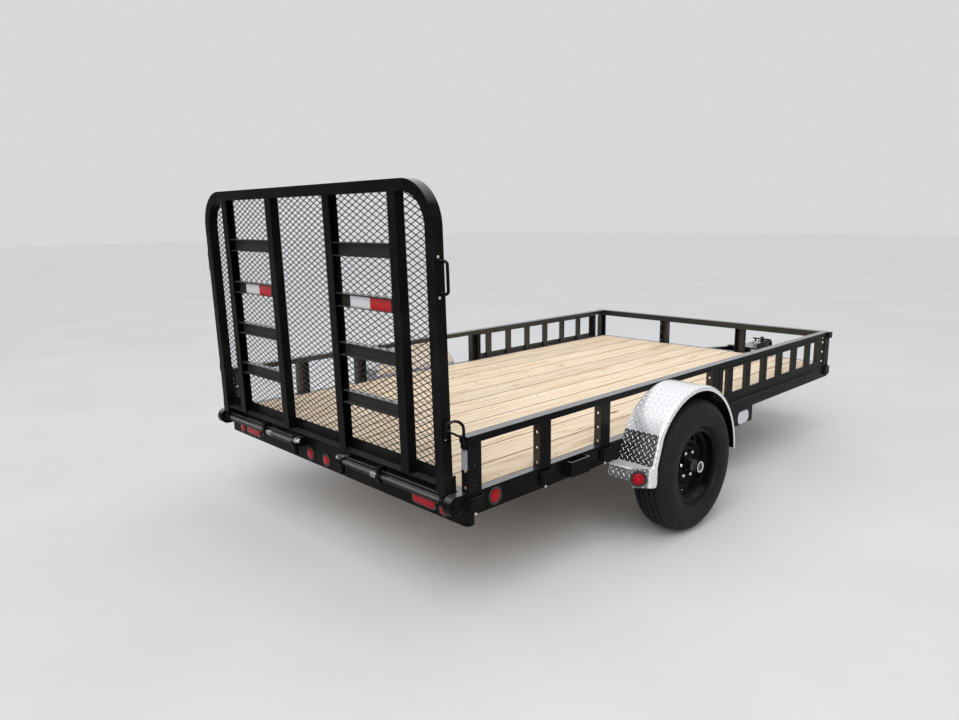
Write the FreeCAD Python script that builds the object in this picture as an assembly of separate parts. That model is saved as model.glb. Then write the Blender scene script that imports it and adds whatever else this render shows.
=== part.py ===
import FreeCAD, Part
import os
import math

os.makedirs("parts", exist_ok=True)

V = FreeCAD.Vector

# Utility trailer, millimetres. X across (kerb side +), Y forward, Z up from the ground.
# Lengths along Y are counted from the rear edge of the bed, and the finished pieces are
# moved back by MID_Y so that the trailer is centred on the origin.
MID_Y = 2475.0
SEAT_GAP = 0.3
BEND_SIDES = 10

# bed
HALF_W = 1054.0
BED_L = 3764.0
DECK_Z = 549.0
FRAME_Z = 449.0
RAIL_FLANGE = 41.0
RAIL_T = 6.0
BUMPER_Y = -10.0
BUMPER_Z = 405.0
BUMPER_R = 24.0
BOARD_T = 38.0
BOARD_GAP = 4.0
BOARD_COUNT = 11
CROSS_COUNT = 9
CROSS_END = 250.0
CROSS_FLANGE = 38.0
CROSS_T = 5.0
AXLE_Y = 1455.0

# railing
TOP_Z = 791.0
TOP_H = 32.0
TOP_W = 51.0
FRONT_TOP_H = 46.0
FRONT_TOP_LIP = 17.0
POST_W = 76.0
POST_D = 41.0
POST_T = 5.0
SECOND_POST_BACK = 1011.0
THIRD_POST_BACK = 557.0
POST_Y = [0.0, AXLE_Y - SECOND_POST_BACK, AXLE_Y - THIRD_POST_BACK]
POST_AT_RAMP = 8.0
FRONT_POST_X = [355.0]
POST_HOLE_R = 7.0
POST_HOLE_UP = [22.0, 94.0, 165.0]
REAR_HOLE_UP = [31.0, 118.0]
REAR_HOLE_R = 6.0

# pockets on the outside of the side rails
STAKE_BACK = 833.0
STAKE_Y = AXLE_Y - STAKE_BACK
STAKE_L = 140.0
STAKE_D = 40.0
STAKE_Z = (464.0, 539.0)
SOCKET_D = 19.0
SOCKET_Z = (470.0, 531.0)
SOCKET_MARGIN = 4.0
SOCKET_R = 13.0
POCKET_T = 5.0

# ramps stored upright in the side openings
RAMP_FROM_AXLE = 621.0
RAMP_AHEAD = 164.0
RAMP_Y = (AXLE_Y + RAMP_FROM_AXLE, BED_L - RAMP_AHEAD)
RAMP_H = 206.7
RAMP_D = 45.0
RAMP_T = 5.0
RAMP_LOW_FLANGE = 38.0
RAMP_TOP_FLANGE = 16.0
RAMP_RUNG_COUNT = 6
RAMP_RUNG_FIRST = 105.0
RAMP_RUNG_LAST = 249.0
RAMP_RUNG_W = 68.0
RAMP_RUNG_D = 20.0
RAMP_END_W = 48.0
LEDGE_Z = 495.0
LEDGE_H = 25.0
LEDGE_D = 24.0
LEDGE_T = 5.0
LEDGE_MARGIN = 124.0

# running gear
AXLE_R = 30.0
SPINDLE_R = 18.0
SPINDLE_END = 22.0
WHEEL_OUT = 136.0
WHEEL_X = HALF_W + WHEEL_OUT
TYRE_R = 357.0
TYRE_W = 223.0
RIM_R = 190.5
RIM_HALF = 77.0
RIM_LIP = 16.5
RIM_T = 6.0
HAND_HOLE_R = 15.0
HAND_HOLE_COUNT = 12
HAND_HOLE_AT = 140.0
BOLT_CIRCLE_R = 69.85
NUT_COUNT = 6
NUT_R = 11.0
NUT_TURN = -0.1
CAP_R = 28.0
CAP_OUT = 106.0
CAP_COLLAR_R = 30.0
CAP_COLLAR_OUT = 66.0
SPRING_REACH = 332.0
SPRING_RISE = 76.0
SPRING_W = 45.0
LEAF_T = 8.0
LEAF_REACH = [332.0, 250.0, 175.0, 100.0]
EYE_R = 16.0
PERCH_H = 14.0
SEAT_HALF = 34.0

# fenders
FENDER_R = 432.0
FENDER_W = 214.0
CARRIER_T = 5.0
FENDER_X = (HALF_W + CARRIER_T, HALF_W + CARRIER_T + FENDER_W)
FENDER_T = 3.0
FENDER_LIP = 27.0
FENDER_ROLL = 16.0
ROLL_STEPS = 4
FENDER_FOLD = 145.8
FENDER_BACK = 410.0
FENDER_FOOT_Y = AXLE_Y - FENDER_BACK
STEP_L = 85.0
STEP_Y = FENDER_FOOT_Y - STEP_L
STEP_Z = (385.0, 448.0)
STEP_ROLL = 15.0
PANEL_W = 89.0
PANEL_X = FENDER_X[1] - PANEL_W
PANEL_TURN = 37.0
PANEL_LOW_Z = 349.0
PANEL_CUT = 22.0
TAIL_LIP_BACK = 19.0
TAIL_LIP_AHEAD = 27.0
TAIL_LIP_Y = (FENDER_FOOT_Y - TAIL_LIP_BACK, FENDER_FOOT_Y + TAIL_LIP_AHEAD)
TAIL_LIP_LOW_Z = 345.0
CARRIER_PAST = 38.0
CARRIER_Z = (455.0, 545.0)

# tongue
BEAM_H = 100.0
TAIL_AHEAD = 818.0
TAIL_Y = AXLE_Y + TAIL_AHEAD
TAIL_L = 265.0
BEND_Y = TAIL_Y + TAIL_L
TONGUE_L = 933.0
APEX_Y = BED_L + TONGUE_L
APEX_X = 52.0
NECK_L = 203.0
NECK_Y = APEX_Y + NECK_L
NECK_BACK = 197.0
NECK_PLATE_Y = APEX_Y - NECK_BACK
NECK_PLATE_X = 150.0
PLATE_T = 8.0
JACK_AHEAD = 93.0
JACK_Y = APEX_Y + JACK_AHEAD
JACK_R = 28.5
JACK_WALL = 3.0
JACK_Z = (150.0, 473.0)
LEG_TOP_Z = 296.0
CRANK_Z = 500.0
CRANK_X = 150.0
FOOT_HALF = 70.0
FOOT_T = 8.0
BALL_AHEAD = 110.0
BALL_Y = NECK_Y + BALL_AHEAD
BALL_R = 25.4
BALL_GAP = 0.6
COUPLER_HALF = 46.0
COUPLER_Z = 392.0

# gate; x across, y through its thickness, z up from its lower edge, before it is leant
HINGE_Y = -58.0
HINGE_Z = 507.0
GATE_Y = -55.0
GATE_Z = 554.0
GATE_LEAN = 1.48
GATE_IN = 60.0
GATE_X = HALF_W - GATE_IN
GATE_H = 1268.0
GATE_TUBE = 50.0
GATE_BEND = 190.0
STRINGER_IN = (758.0, 226.0)
STRINGER_X = (GATE_X - STRINGER_IN[0], GATE_X - STRINGER_IN[1])
STRINGER_W = 52.0
STRINGER_T = 4.0
STRINGER_FOOT = 30.0
RUNG_FIRST = 298.0
RUNG_LAST_DOWN = 287.0
RUNG_COUNT = 4
RUNG_H = 62.0
RUNG_IN = 8.0
BOTTOM_H = 86.0
MESH_LONG = 171.0
MESH_SHORT = 84.0
MESH_STRAND = 10.0
MESH_T = 3.0
HANDLE_Z = (822.0, 948.0)
HANDLE_OUT = 46.0
HANDLE_R = 6.5
LUG_IN = (474.0, 34.0)
LUG_X = [GATE_X - LUG_IN[0], GATE_X - LUG_IN[1]]
LUG_T = 22.0
LUG_R = 26.0
LUG_DROP = 30.0
TORSION_R = 6.0
TORSION_UP = 28.0
SIDE_PLATE_Z = (-8.0, 66.0)
SIDE_PLATE_T = 5.0
SIDE_PLATE_AHEAD = 12.0
SIDE_GAP = 5.0

# hinge line: assist tubes, their coil, brackets and end barrels
ASSIST_R = 16.0
ASSIST_X = 232.0
ASSIST_GAP = 1.0
COIL_X = (462.0, 518.0)
COIL_TURNS = 5
COIL_ROOT = 13.0
BARREL_IN = 8.0
BARREL_X = (GATE_X + SIDE_PLATE_T + SIDE_GAP, HALF_W - BARREL_IN)
BARREL_R = 44.0
BARREL_CUP = 5.0
BRACKET_W = 26.0
BRACKET_R = 24.0

# gate latch on each rear post
LATCH_R = 6.5
LATCH_IN = 14.0
LATCH_X = HALF_W - LATCH_IN
LATCH_SPARE = 0.5
LATCH_FREE_X = GATE_X + SIDE_GAP + LATCH_R + LATCH_SPARE
LATCH_Y = -9.0
LATCH_FREE_BACK = 22.0
LATCH_FREE_Y = GATE_Y - LATCH_FREE_BACK
LATCH_UP = 77.0
LATCH_Z = TOP_Z + LATCH_UP
LATCH_FREE_DOWN = 1.0
LATCH_FREE_Z = TOP_Z - LATCH_FREE_DOWN
LATCH_LOW_DOWN = 53.0
LATCH_LOW_Z = TOP_Z - LATCH_LOW_DOWN

# lamps
LAMP_T = 7.0
TAIL_LAMP_IN = 276.0
TAIL_LAMP_X = HALF_W - TAIL_LAMP_IN
TAIL_LAMP_HALF = 54.0
TAIL_LAMP_R = 29.0
LAMP_Z = 450.0
ID_LAMP_PITCH = 152.0
ID_LAMP_R = 36.0
OUTER_LAMP_IN = 144.0
OUTER_LAMP_X = HALF_W - OUTER_LAMP_IN
OUTER_LAMP_Z = 445.0
OUTER_LAMP_R = 34.0
MARKER_Y = 154.0
MARKER_Z = 500.0
MARKER_R = 40.0
FENDER_LAMP_T = 12.0
FENDER_LAMP_ALONG = 45.0
FENDER_LAMP_Z = 395.0
FENDER_LAMP_R = 42.0


def box(x0, x1, y0, y1, z0, z1):
    return Part.makeBox(x1 - x0, y1 - y0, z1 - z0, V(x0, y0, z0))


def place(axis, at, p, q):
    return {"x": V(at, p, q), "y": V(p, at, q), "z": V(p, q, at)}[axis]


def corner_arc(before, here, after, radius):
    """Start, middle and end of the arc that rounds a corner."""
    back = (before - here).normalize()
    ahead = (after - here).normalize()
    half = back.getAngle(ahead) / 2
    cut = radius / math.tan(half)
    centre = here + (back + ahead).normalize() * (radius / math.sin(half))
    return here + back * cut, centre + (here - centre).normalize() * radius, here + ahead * cut


def chain(stations, closed):
    """Lines and arcs through (start, middle, end) stations; a plain corner has no middle."""
    edges = []
    count = len(stations)
    for i, (start, middle, end) in enumerate(stations):
        if middle is not None:
            edges.append(Part.Arc(start, middle, end).toShape())
        if i + 1 < count or closed:
            edges.append(Part.makeLine(end, stations[(i + 1) % count][0]))
    return Part.Wire(edges)


def outline(axis, at, corners):
    """Closed outline across an axis from (u, v) or (u, v, rounding) corners."""
    points = [place(axis, at, c[0], c[1]) for c in corners]
    stations = []
    for i, corner in enumerate(corners):
        if len(corner) == 3:
            after = points[(i + 1) % len(points)]
            stations.append(corner_arc(points[i - 1], points[i], after, corner[2]))
        else:
            stations.append((points[i], None, points[i]))
    return chain(stations, True)


def prism(axis, corners, a, b):
    way = {"x": V(b - a, 0, 0), "y": V(0, b - a, 0), "z": V(0, 0, b - a)}[axis]
    return Part.Face(outline(axis, a, corners)).extrude(way)


def disc(radius, x0, x1, y, z):
    return Part.makeCylinder(radius, x1 - x0, V(x0, y, z), V(1, 0, 0))


def rod(a, b, radius):
    start = V(*a)
    way = V(*b) - start
    return Part.makeCylinder(radius, way.Length, start, way)


def bent_rod(points, bend, radius):
    """A round rod along a path with every corner bent to the same radius."""
    path = [V(*p) for p in points]
    start = path[0]
    pieces = []
    for before, here, after in zip(path, path[1:], path[2:]):
        into = (here - before).normalize()
        out = (after - here).normalize()
        cut = bend * math.tan(into.getAngle(out) / 2)
        end = here - into * cut
        pieces.append(rod(start, end, radius))
        axis = into.cross(out).normalize()
        side = into.cross(axis) * radius
        spokes = [FreeCAD.Rotation(into, i * 360 / BEND_SIDES).multVec(side) for i in range(BEND_SIDES)]
        section = Part.Face(Part.makePolygon([end + v for v in spokes] + [end + spokes[0]]))
        turn_by = math.degrees(into.getAngle(out))
        pieces.append(section.revolve(end + axis.cross(into) * bend, axis, turn_by))
        start = here + out * cut
    pieces.append(rod(start, path[-1], radius))
    return pieces[0].multiFuse(pieces[1:])


def lathe(points, x, y, z):
    """Turns (along, radius) points about the line through (y, z) along X."""
    ring = [V(along, 0, radius) for along, radius in points]
    turned = Part.Face(Part.makePolygon(ring + [ring[0]])).revolve(V(0, 0, 0), V(1, 0, 0), 360)
    turned.translate(V(x, y, z))
    return turned


def fuse(shapes):
    return shapes[0].multiFuse(shapes[1:]).removeSplitter()


def cee(p, q, side, width, height, thick):
    """Channel: web on the line u = p, flanges towards side, v from q to q + height."""
    tip = p + side * width
    root = p + side * thick
    return [(p, q), (tip, q), (tip, q + thick), (root, q + thick),
            (root, q + height - thick), (tip, q + height - thick), (tip, q + height), (p, q + height)]


def mirror(shape):
    return shape.mirror(V(0, 0, 0), V(1, 0, 0))


def both(shapes):
    return [s for shape in shapes for s in (shape, mirror(shape))]


def save(name, shapes):
    solids = [solid for shape in shapes for solid in shape.Solids]
    whole = solids[0].copy() if len(solids) == 1 else Part.makeCompound(solids)
    whole.translate(V(0, -MID_Y, 0))
    whole.exportStep("parts/" + name + ".step")
    b = whole.BoundBox
    print("%-20s solids %2d  x %.0f %.0f  y %.0f %.0f  z %.0f %.0f" % (
        name, len(solids), b.XMin, b.XMax, b.YMin, b.YMax, b.ZMin, b.ZMax))


# bed frame
bumper_front = BUMPER_Y + RAIL_FLANGE
rail_end = BED_L - RAIL_FLANGE
rail_h = DECK_Z - FRAME_Z
side_section = cee(HALF_W, FRAME_Z, -1, RAIL_FLANGE, rail_h, RAIL_T)
save("side_rails", both([prism("y", side_section, bumper_front, rail_end)]))
front_section = cee(BED_L, FRAME_Z, -1, RAIL_FLANGE, rail_h, RAIL_T)
save("front_channel", [prism("x", front_section, -HALF_W, HALF_W)])


def bumper_plan(inset):
    side = HALF_W - inset
    rear = BUMPER_Y + inset
    bend = BUMPER_R - inset
    front = bumper_front + inset
    return [(-side, rear, bend), (side, rear, bend), (side, front), (-side, front)]


bumper = prism("z", bumper_plan(0.0), BUMPER_Z, DECK_Z)
save("rear_bumper", [bumper.cut(prism("z", bumper_plan(RAIL_T), BUMPER_Z + RAIL_T, DECK_Z - RAIL_T))])

cross_top = DECK_Z - BOARD_T
cross_low = FRAME_Z + RAIL_T
cross_half = CROSS_FLANGE / 2
members = []
for i in range(CROSS_COUNT):
    y = CROSS_END + i * (BED_L - 2 * CROSS_END) / (CROSS_COUNT - 1)
    rear, front = y - cross_half, y + cross_half
    section = [(rear, cross_top), (front, cross_top), (front, cross_top - CROSS_T),
               (rear + CROSS_T, cross_top - CROSS_T), (rear + CROSS_T, cross_low), (rear, cross_low)]
    members.append(prism("x", section, -HALF_W + RAIL_T, HALF_W - RAIL_T))
save("crossmembers", members)

deck_half = HALF_W - RAIL_FLANGE - BOARD_GAP / 2
board_pitch = 2 * deck_half / BOARD_COUNT
boards = []
for i in range(BOARD_COUNT):
    x = -deck_half + i * board_pitch
    boards.append(box(x + BOARD_GAP / 2, x + board_pitch - BOARD_GAP / 2,
                      bumper_front + BOARD_GAP / 2, rail_end - BOARD_GAP / 2, cross_top, DECK_Z))
save("deck_boards", boards)

# tongue: each channel starts under a side rail and turns in to the apex
turn = math.atan((HALF_W - APEX_X) / (APEX_Y - BEND_Y))
beam_low = FRAME_Z - BEAM_H


def beam_plan(width):
    inner = HALF_W - width
    knee = BEND_Y - width * math.tan(turn / 2)
    end = APEX_X - width / math.cos(turn)
    return [(HALF_W, TAIL_Y), (HALF_W, BEND_Y), (APEX_X, APEX_Y),
            (end, APEX_Y), (inner, knee), (inner, TAIL_Y)]


beam = fuse([prism("z", beam_plan(RAIL_FLANGE), FRAME_Z - RAIL_T, FRAME_Z),
             prism("z", beam_plan(RAIL_T), beam_low + RAIL_T, FRAME_Z - RAIL_T),
             prism("z", beam_plan(RAIL_FLANGE), beam_low, beam_low + RAIL_T)])
save("tongue_beams", both([beam]))

neck_half = COUPLER_HALF + RAIL_T
neck = fuse([prism("z", [(-NECK_PLATE_X, NECK_PLATE_Y, 12), (NECK_PLATE_X, NECK_PLATE_Y, 12),
                         (neck_half, APEX_Y + 3, 20), (neck_half, NECK_Y), (-neck_half, NECK_Y),
                         (-neck_half, APEX_Y + 3, 20)], FRAME_Z, FRAME_Z + PLATE_T),
             box(-neck_half, -COUPLER_HALF, APEX_Y + 1, NECK_Y, beam_low, FRAME_Z),
             box(COUPLER_HALF, neck_half, APEX_Y + 1, NECK_Y, beam_low, FRAME_Z)])
jack_hole = rod((0, JACK_Y, FRAME_Z - 1), (0, JACK_Y, FRAME_Z + PLATE_T + 1), JACK_R + 0.5)
save("tongue_plate", [neck.cut(jack_hole)])

# coupler: pressed nose round the ball, a lower sleeve between the neck plates and a lever on top
sleeve_y = NECK_Y - 50
nose_tip = BALL_Y + BALL_R + 24
nose_right = [(COUPLER_HALF, sleeve_y), (COUPLER_HALF, NECK_Y + 5), (COUPLER_HALF - 10, BALL_Y, 40),
              (COUPLER_HALF - 14, nose_tip, 28)]
nose_left = [(-corner[0], *corner[1:]) for corner in nose_right[::-1]]
nose = prism("z", nose_right + nose_left, COUPLER_Z, FRAME_Z)
cap_half = COUPLER_HALF - 12
cap = prism("z", [(-cap_half, NECK_Y + 2, 8), (cap_half, NECK_Y + 2, 8), (cap_half - 8, nose_tip - 10, 20),
                  (8 - cap_half, nose_tip - 10, 20)], FRAME_Z, FRAME_Z + 14)
lever = prism("x", [(NECK_Y + 15, FRAME_Z + 14), (NECK_Y + 75, FRAME_Z + 14), (NECK_Y + 40, CRANK_Z, 8),
                    (NECK_Y + 4, CRANK_Z, 8)], -7, 7)
socket_r = BALL_R + BALL_GAP
coupler = fuse([nose, cap, lever])
coupler = coupler.cut(Part.makeSphere(socket_r, V(0, BALL_Y, COUPLER_Z + 24)))
coupler = coupler.cut(rod((0, BALL_Y, COUPLER_Z - 1), (0, BALL_Y, COUPLER_Z + 24), socket_r))
save("coupler", [coupler])

# tongue jack: a fixed outer tube with its collar, crank and grip, and the leg with its foot
collar_z = FRAME_Z + PLATE_T
tube = fuse([rod((0, JACK_Y, JACK_Z[0]), (0, JACK_Y, JACK_Z[1]), JACK_R),
             rod((0, JACK_Y, collar_z), (0, JACK_Y, collar_z + PLATE_T), JACK_R + 15)])
bore = JACK_R - JACK_WALL
save("jack_tube", [tube.cut(rod((0, JACK_Y, JACK_Z[0] - 1), (0, JACK_Y, JACK_Z[1] - JACK_WALL), bore))])
arm = bent_rod([(-bore, JACK_Y, CRANK_Z), (CRANK_X, JACK_Y, CRANK_Z), (CRANK_X, JACK_Y, CRANK_Z - 78)],
               14, 7)
save("jack_crank", [fuse([arm, rod((0, JACK_Y, JACK_Z[1]), (0, JACK_Y, CRANK_Z), 8),
                          rod((CRANK_X, JACK_Y, CRANK_Z - 76), (CRANK_X, JACK_Y, CRANK_Z - 20), 12)])])
foot = prism("z", [(-FOOT_HALF, JACK_Y - FOOT_HALF, 18), (FOOT_HALF, JACK_Y - FOOT_HALF, 18),
                   (FOOT_HALF, JACK_Y + FOOT_HALF, 18), (-FOOT_HALF, JACK_Y + FOOT_HALF, 18)], 0, FOOT_T)
save("jack_leg", [fuse([rod((0, JACK_Y, FOOT_T / 2), (0, JACK_Y, LEG_TOP_Z), bore - SEAT_GAP), foot])])

# railing: channel posts with a row of holes in the rear flange, and the bars on top
post_top = TOP_Z - TOP_H
front_low = TOP_Z - FRONT_TOP_H
corner_post_y = BED_L - POST_W
hole_depth = POST_T + 2


def side_post(y, top):
    section = [(HALF_W, y), (HALF_W, y + POST_W), (HALF_W - POST_D, y + POST_W),
               (HALF_W - POST_D, y + POST_W - POST_T), (HALF_W - POST_T, y + POST_W - POST_T),
               (HALF_W - POST_T, y + POST_T), (HALF_W - POST_D, y + POST_T), (HALF_W - POST_D, y)]
    post = prism("z", section, DECK_Z, top)
    x = HALF_W - POST_D / 2
    holes = [rod((x, y - 1, DECK_Z + up), (x, y - 1 + hole_depth, DECK_Z + up), POST_HOLE_R)
             for up in POST_HOLE_UP]
    return post.cut(Part.makeCompound(holes))


def front_post(x):
    low_x, high_x, back = x - POST_W / 2, x + POST_W / 2, BED_L - POST_D
    section = [(low_x, BED_L), (high_x, BED_L), (high_x, back), (high_x - POST_T, back),
               (high_x - POST_T, BED_L - POST_T), (low_x + POST_T, BED_L - POST_T),
               (low_x + POST_T, back), (low_x, back)]
    post = prism("z", section, DECK_Z, front_low)
    holes = [disc(POST_HOLE_R, high_x - hole_depth + 1, high_x + 1, BED_L - POST_D / 2, DECK_Z + up)
             for up in POST_HOLE_UP]
    return post.cut(Part.makeCompound(holes))


rear_holes = [disc(REAR_HOLE_R, HALF_W - hole_depth, HALF_W + 1, POST_Y[0] + POST_W / 2, DECK_Z + up)
              for up in REAR_HOLE_UP]
rear_post = side_post(POST_Y[0], post_top).cut(Part.makeCompound(rear_holes))
side_post_y = POST_Y[1:] + [RAMP_Y[0] - POST_W - POST_AT_RAMP]
save("side_posts", both([rear_post] + [side_post(y, post_top) for y in side_post_y]
                        + [side_post(corner_post_y, front_low)]))
save("front_posts", both([front_post(x) for x in FRONT_POST_X]))
save("side_top_rails", both([box(HALF_W - TOP_W, HALF_W, 0, BED_L - TOP_W, post_top, TOP_Z)]))
front_half = HALF_W + FRONT_TOP_LIP
save("front_top_rail", [box(-front_half, front_half, BED_L - TOP_W, BED_L + 3, front_low, TOP_Z)])

# stake pocket and the shallow socket under each side post
stake = box(HALF_W, HALF_W + STAKE_D, STAKE_Y, STAKE_Y + STAKE_L, *STAKE_Z).cut(
    box(HALF_W - 1, HALF_W + STAKE_D - POCKET_T, STAKE_Y + POCKET_T, STAKE_Y + STAKE_L - POCKET_T,
        STAKE_Z[0] - 1, STAKE_Z[1] + 1))


def socket(y):
    low_y, high_y = y - SOCKET_MARGIN, y + POST_W + SOCKET_MARGIN
    out = HALF_W + SOCKET_D
    shell = prism("z", [(HALF_W, low_y), (out, low_y, SOCKET_R), (out, high_y, SOCKET_R), (HALF_W, high_y)],
                  *SOCKET_Z)
    low_in, high_in, out_in = low_y + POCKET_T, high_y - POCKET_T, out - POCKET_T
    inner_r = SOCKET_R - POCKET_T
    inside = [(HALF_W - 1, low_in), (out_in, low_in, inner_r),
              (out_in, high_in, inner_r), (HALF_W - 1, high_in)]
    return shell.cut(prism("z", inside, SOCKET_Z[0] - 1, SOCKET_Z[1] + 1))


sockets = [socket(y) for y in POST_Y]
save("stake_pockets", both([stake] + sockets + [socket(corner_post_y - SOCKET_MARGIN)]))

# ledge under each stored ramp, and the plates that carry the fenders
ledge_top = LEDGE_Z + LEDGE_H
ledge_x, ledge_in = HALF_W + LEDGE_D, HALF_W + LEDGE_T
ledge = prism("y", [(HALF_W, LEDGE_Z), (ledge_in, LEDGE_Z), (ledge_in, ledge_top - LEDGE_T),
                    (ledge_x, ledge_top - LEDGE_T), (ledge_x, ledge_top), (HALF_W, ledge_top)],
              RAMP_Y[0] + LEDGE_MARGIN, RAMP_Y[1] - LEDGE_MARGIN / 3)
save("ramp_strips", both([ledge]))
carrier_y = (POST_Y[-1] + POST_W + 2 * SOCKET_MARGIN, AXLE_Y + FENDER_R + CARRIER_PAST)
save("fender_carriers", both([box(HALF_W, FENDER_X[0], *carrier_y, *CARRIER_Z)]))

# fenders: a sheet with a rolled outer edge, round over the tyre and straight below its fold
axle_z = TYRE_R
fx0, fx1 = FENDER_X
fold = math.radians(FENDER_FOLD)
fold_point = V(0, AXLE_Y + FENDER_R * math.cos(fold), axle_z + FENDER_R * math.sin(fold))
foot_way = V(0, FENDER_FOOT_Y, STEP_Z[1]) - fold_point
foot_angle = math.degrees(math.atan2(-foot_way.y, foot_way.z))


def roll(radius, y):
    """Points down the rolled edge, from the flat of the sheet to its lip."""
    steps = [math.pi / 2 * i / ROLL_STEPS for i in range(ROLL_STEPS + 1)]
    x0, y0 = fx1 - FENDER_ROLL, y - FENDER_ROLL
    return [(x0 + radius * math.sin(a), y0 + radius * math.cos(a)) for a in steps]


def fender_section(y, z):
    """Section of the rolled sheet, its depth counted rearward from its outer face at y."""
    outer = roll(FENDER_ROLL, y)
    inner = roll(FENDER_ROLL - FENDER_T, y)
    lip = [(fx1, y - FENDER_LIP), (fx1 - FENDER_T, y - FENDER_LIP)]
    return Part.Face(outline("z", z, [(fx0, y)] + outer + lip + inner[::-1] + [(fx0, y - FENDER_T)]))


sheet = fender_section(AXLE_Y + FENDER_R, axle_z).revolve(V(0, AXLE_Y, axle_z), V(1, 0, 0), FENDER_FOLD)
straight = fender_section(0, 0)
straight.rotate(V(0, 0, 0), V(1, 0, 0), foot_angle)
straight.translate(fold_point)
straight = straight.extrude(foot_way)
step_ahead = TAIL_LIP_Y[1]
step_low, step_top = STEP_Z
step_in = STEP_Y + FENDER_T
step = prism("x", [(STEP_Y, step_low), (STEP_Y, step_top, STEP_ROLL), (step_ahead, step_top),
                   (step_ahead, step_top - FENDER_T), (step_in, step_top - FENDER_T, STEP_ROLL - FENDER_T),
                   (step_in, step_low)], fx0, fx1)
tail_lip = prism("x", [(TAIL_LIP_Y[0], step_top), (TAIL_LIP_Y[0], TAIL_LIP_LOW_Z, STEP_ROLL),
                       (TAIL_LIP_Y[1], TAIL_LIP_LOW_Z, STEP_ROLL), (TAIL_LIP_Y[1], step_top)],
                 fx1 - FENDER_T, fx1)


def on_panel(shape):
    """Turns a shape made on the plane y = 0 to stand on the fender's lamp panel."""
    shape.rotate(V(0, 0, 0), V(0, 0, 1), PANEL_TURN)
    shape.translate(V(PANEL_X, STEP_Y, 0))
    return shape


panel_l = (fx1 - PANEL_X) / math.cos(math.radians(PANEL_TURN))
panel = on_panel(prism("y", [(0, step_top - FENDER_T), (0, step_low), (PANEL_CUT, PANEL_LOW_Z),
                             (panel_l, PANEL_LOW_Z), (panel_l, step_top - FENDER_T)], 0, FENDER_T))
outside = on_panel(box(0, 2 * panel_l, -2 * panel_l, 0, PANEL_LOW_Z - 1, step_top + 1))
fender = fuse([sheet, straight, step.cut(outside), panel, tail_lip])
save("fenders", both([fender.common(box(fx0, fx1, 0, BED_L, 0, DECK_Z + FENDER_R))]))

# axle with its spindles and spring seats, leaf springs under it, and their hangers
axle_end = WHEEL_X - TYRE_W / 2 + 6
spring_x = HALF_W - 1
seat_z = axle_z - AXLE_R + 18
seat_low = axle_z - AXLE_R - 5
spindle = rod((axle_end - 5, AXLE_Y, axle_z), (WHEEL_X + SPINDLE_END, AXLE_Y, axle_z), SPINDLE_R)
camber_r = (SPRING_REACH ** 2 + SPRING_RISE ** 2) / (2 * SPRING_RISE)
seat_sag = camber_r - math.sqrt(camber_r ** 2 - SEAT_HALF ** 2)
seat = box(spring_x - SPRING_W, spring_x, AXLE_Y - SEAT_HALF, AXLE_Y + SEAT_HALF,
           seat_low + seat_sag, seat_z)
save("axle_beam", [fuse([rod((-axle_end, AXLE_Y, axle_z), (axle_end, AXLE_Y, axle_z), AXLE_R),
                         spindle, mirror(spindle), seat, mirror(seat)])])

camber_z = seat_low + camber_r
leaves = []
for i, reach in enumerate(LEAF_REACH):
    r = camber_r + i * LEAF_T
    leaf = disc(r + LEAF_T, spring_x - SPRING_W, spring_x, AXLE_Y, camber_z).cut(
        disc(r, spring_x - SPRING_W - 1, spring_x + 1, AXLE_Y, camber_z))
    leaves.append(leaf.common(box(spring_x - SPRING_W, spring_x, AXLE_Y - reach, AXLE_Y + reach,
                                  seat_low - 60, seat_low + SPRING_RISE + LEAF_T)))
eye_z = seat_low + SPRING_RISE - LEAF_T / 2
eyes = [disc(EYE_R, spring_x - SPRING_W, spring_x, AXLE_Y + s * SPRING_REACH, eye_z) for s in (-1, 1)]
clamp_low = seat_low - len(LEAF_REACH) * LEAF_T
clamp = box(spring_x - SPRING_W - 3, spring_x + 3, AXLE_Y - 45, AXLE_Y + 45,
            clamp_low - PERCH_H, clamp_low + LEAF_T / 2)
save("leaf_springs", both([fuse(leaves + eyes + [clamp])]))
hangers = []
for s in (-1, 1):
    y = AXLE_Y + s * SPRING_REACH
    cheeks = prism("x", [(y - 34, FRAME_Z), (y - 20, eye_z - 22, 14), (y + 20, eye_z - 22, 14),
                         (y + 34, FRAME_Z)], spring_x - SPRING_W - 6, spring_x + 6)
    hangers.append(cheeks.cut(box(spring_x - SPRING_W - SEAT_GAP, spring_x + SEAT_GAP, y - 40, y + 40,
                                  eye_z - 40, FRAME_Z - 9)))
save("spring_hangers", both(hangers))


# lamps
def round_lamp(x, z, radius):
    return rod((x, BUMPER_Y, z), (x, BUMPER_Y - LAMP_T, z), radius)


oval_reach = TAIL_LAMP_HALF + TAIL_LAMP_R
oval = [(TAIL_LAMP_X + across * oval_reach, LAMP_Z + up * TAIL_LAMP_R, TAIL_LAMP_R - 0.01)
        for across, up in ((-1, -1), (1, -1), (1, 1), (-1, 1))]
save("tail_lamps", both([prism("y", oval, BUMPER_Y - LAMP_T, BUMPER_Y)]))
save("rear_round_lamps", [round_lamp(i * ID_LAMP_PITCH, LAMP_Z, ID_LAMP_R) for i in (-1, 0, 1)]
     + both([round_lamp(OUTER_LAMP_X, OUTER_LAMP_Z, OUTER_LAMP_R)]))
save("side_markers", both([disc(MARKER_R, HALF_W, HALF_W + LAMP_T, MARKER_Y, MARKER_Z)]))
fender_lamp = rod((FENDER_LAMP_ALONG, 0, FENDER_LAMP_Z), (FENDER_LAMP_ALONG, -FENDER_LAMP_T, FENDER_LAMP_Z),
                  FENDER_LAMP_R)
save("fender_lamps", both([on_panel(fender_lamp)]))

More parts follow.
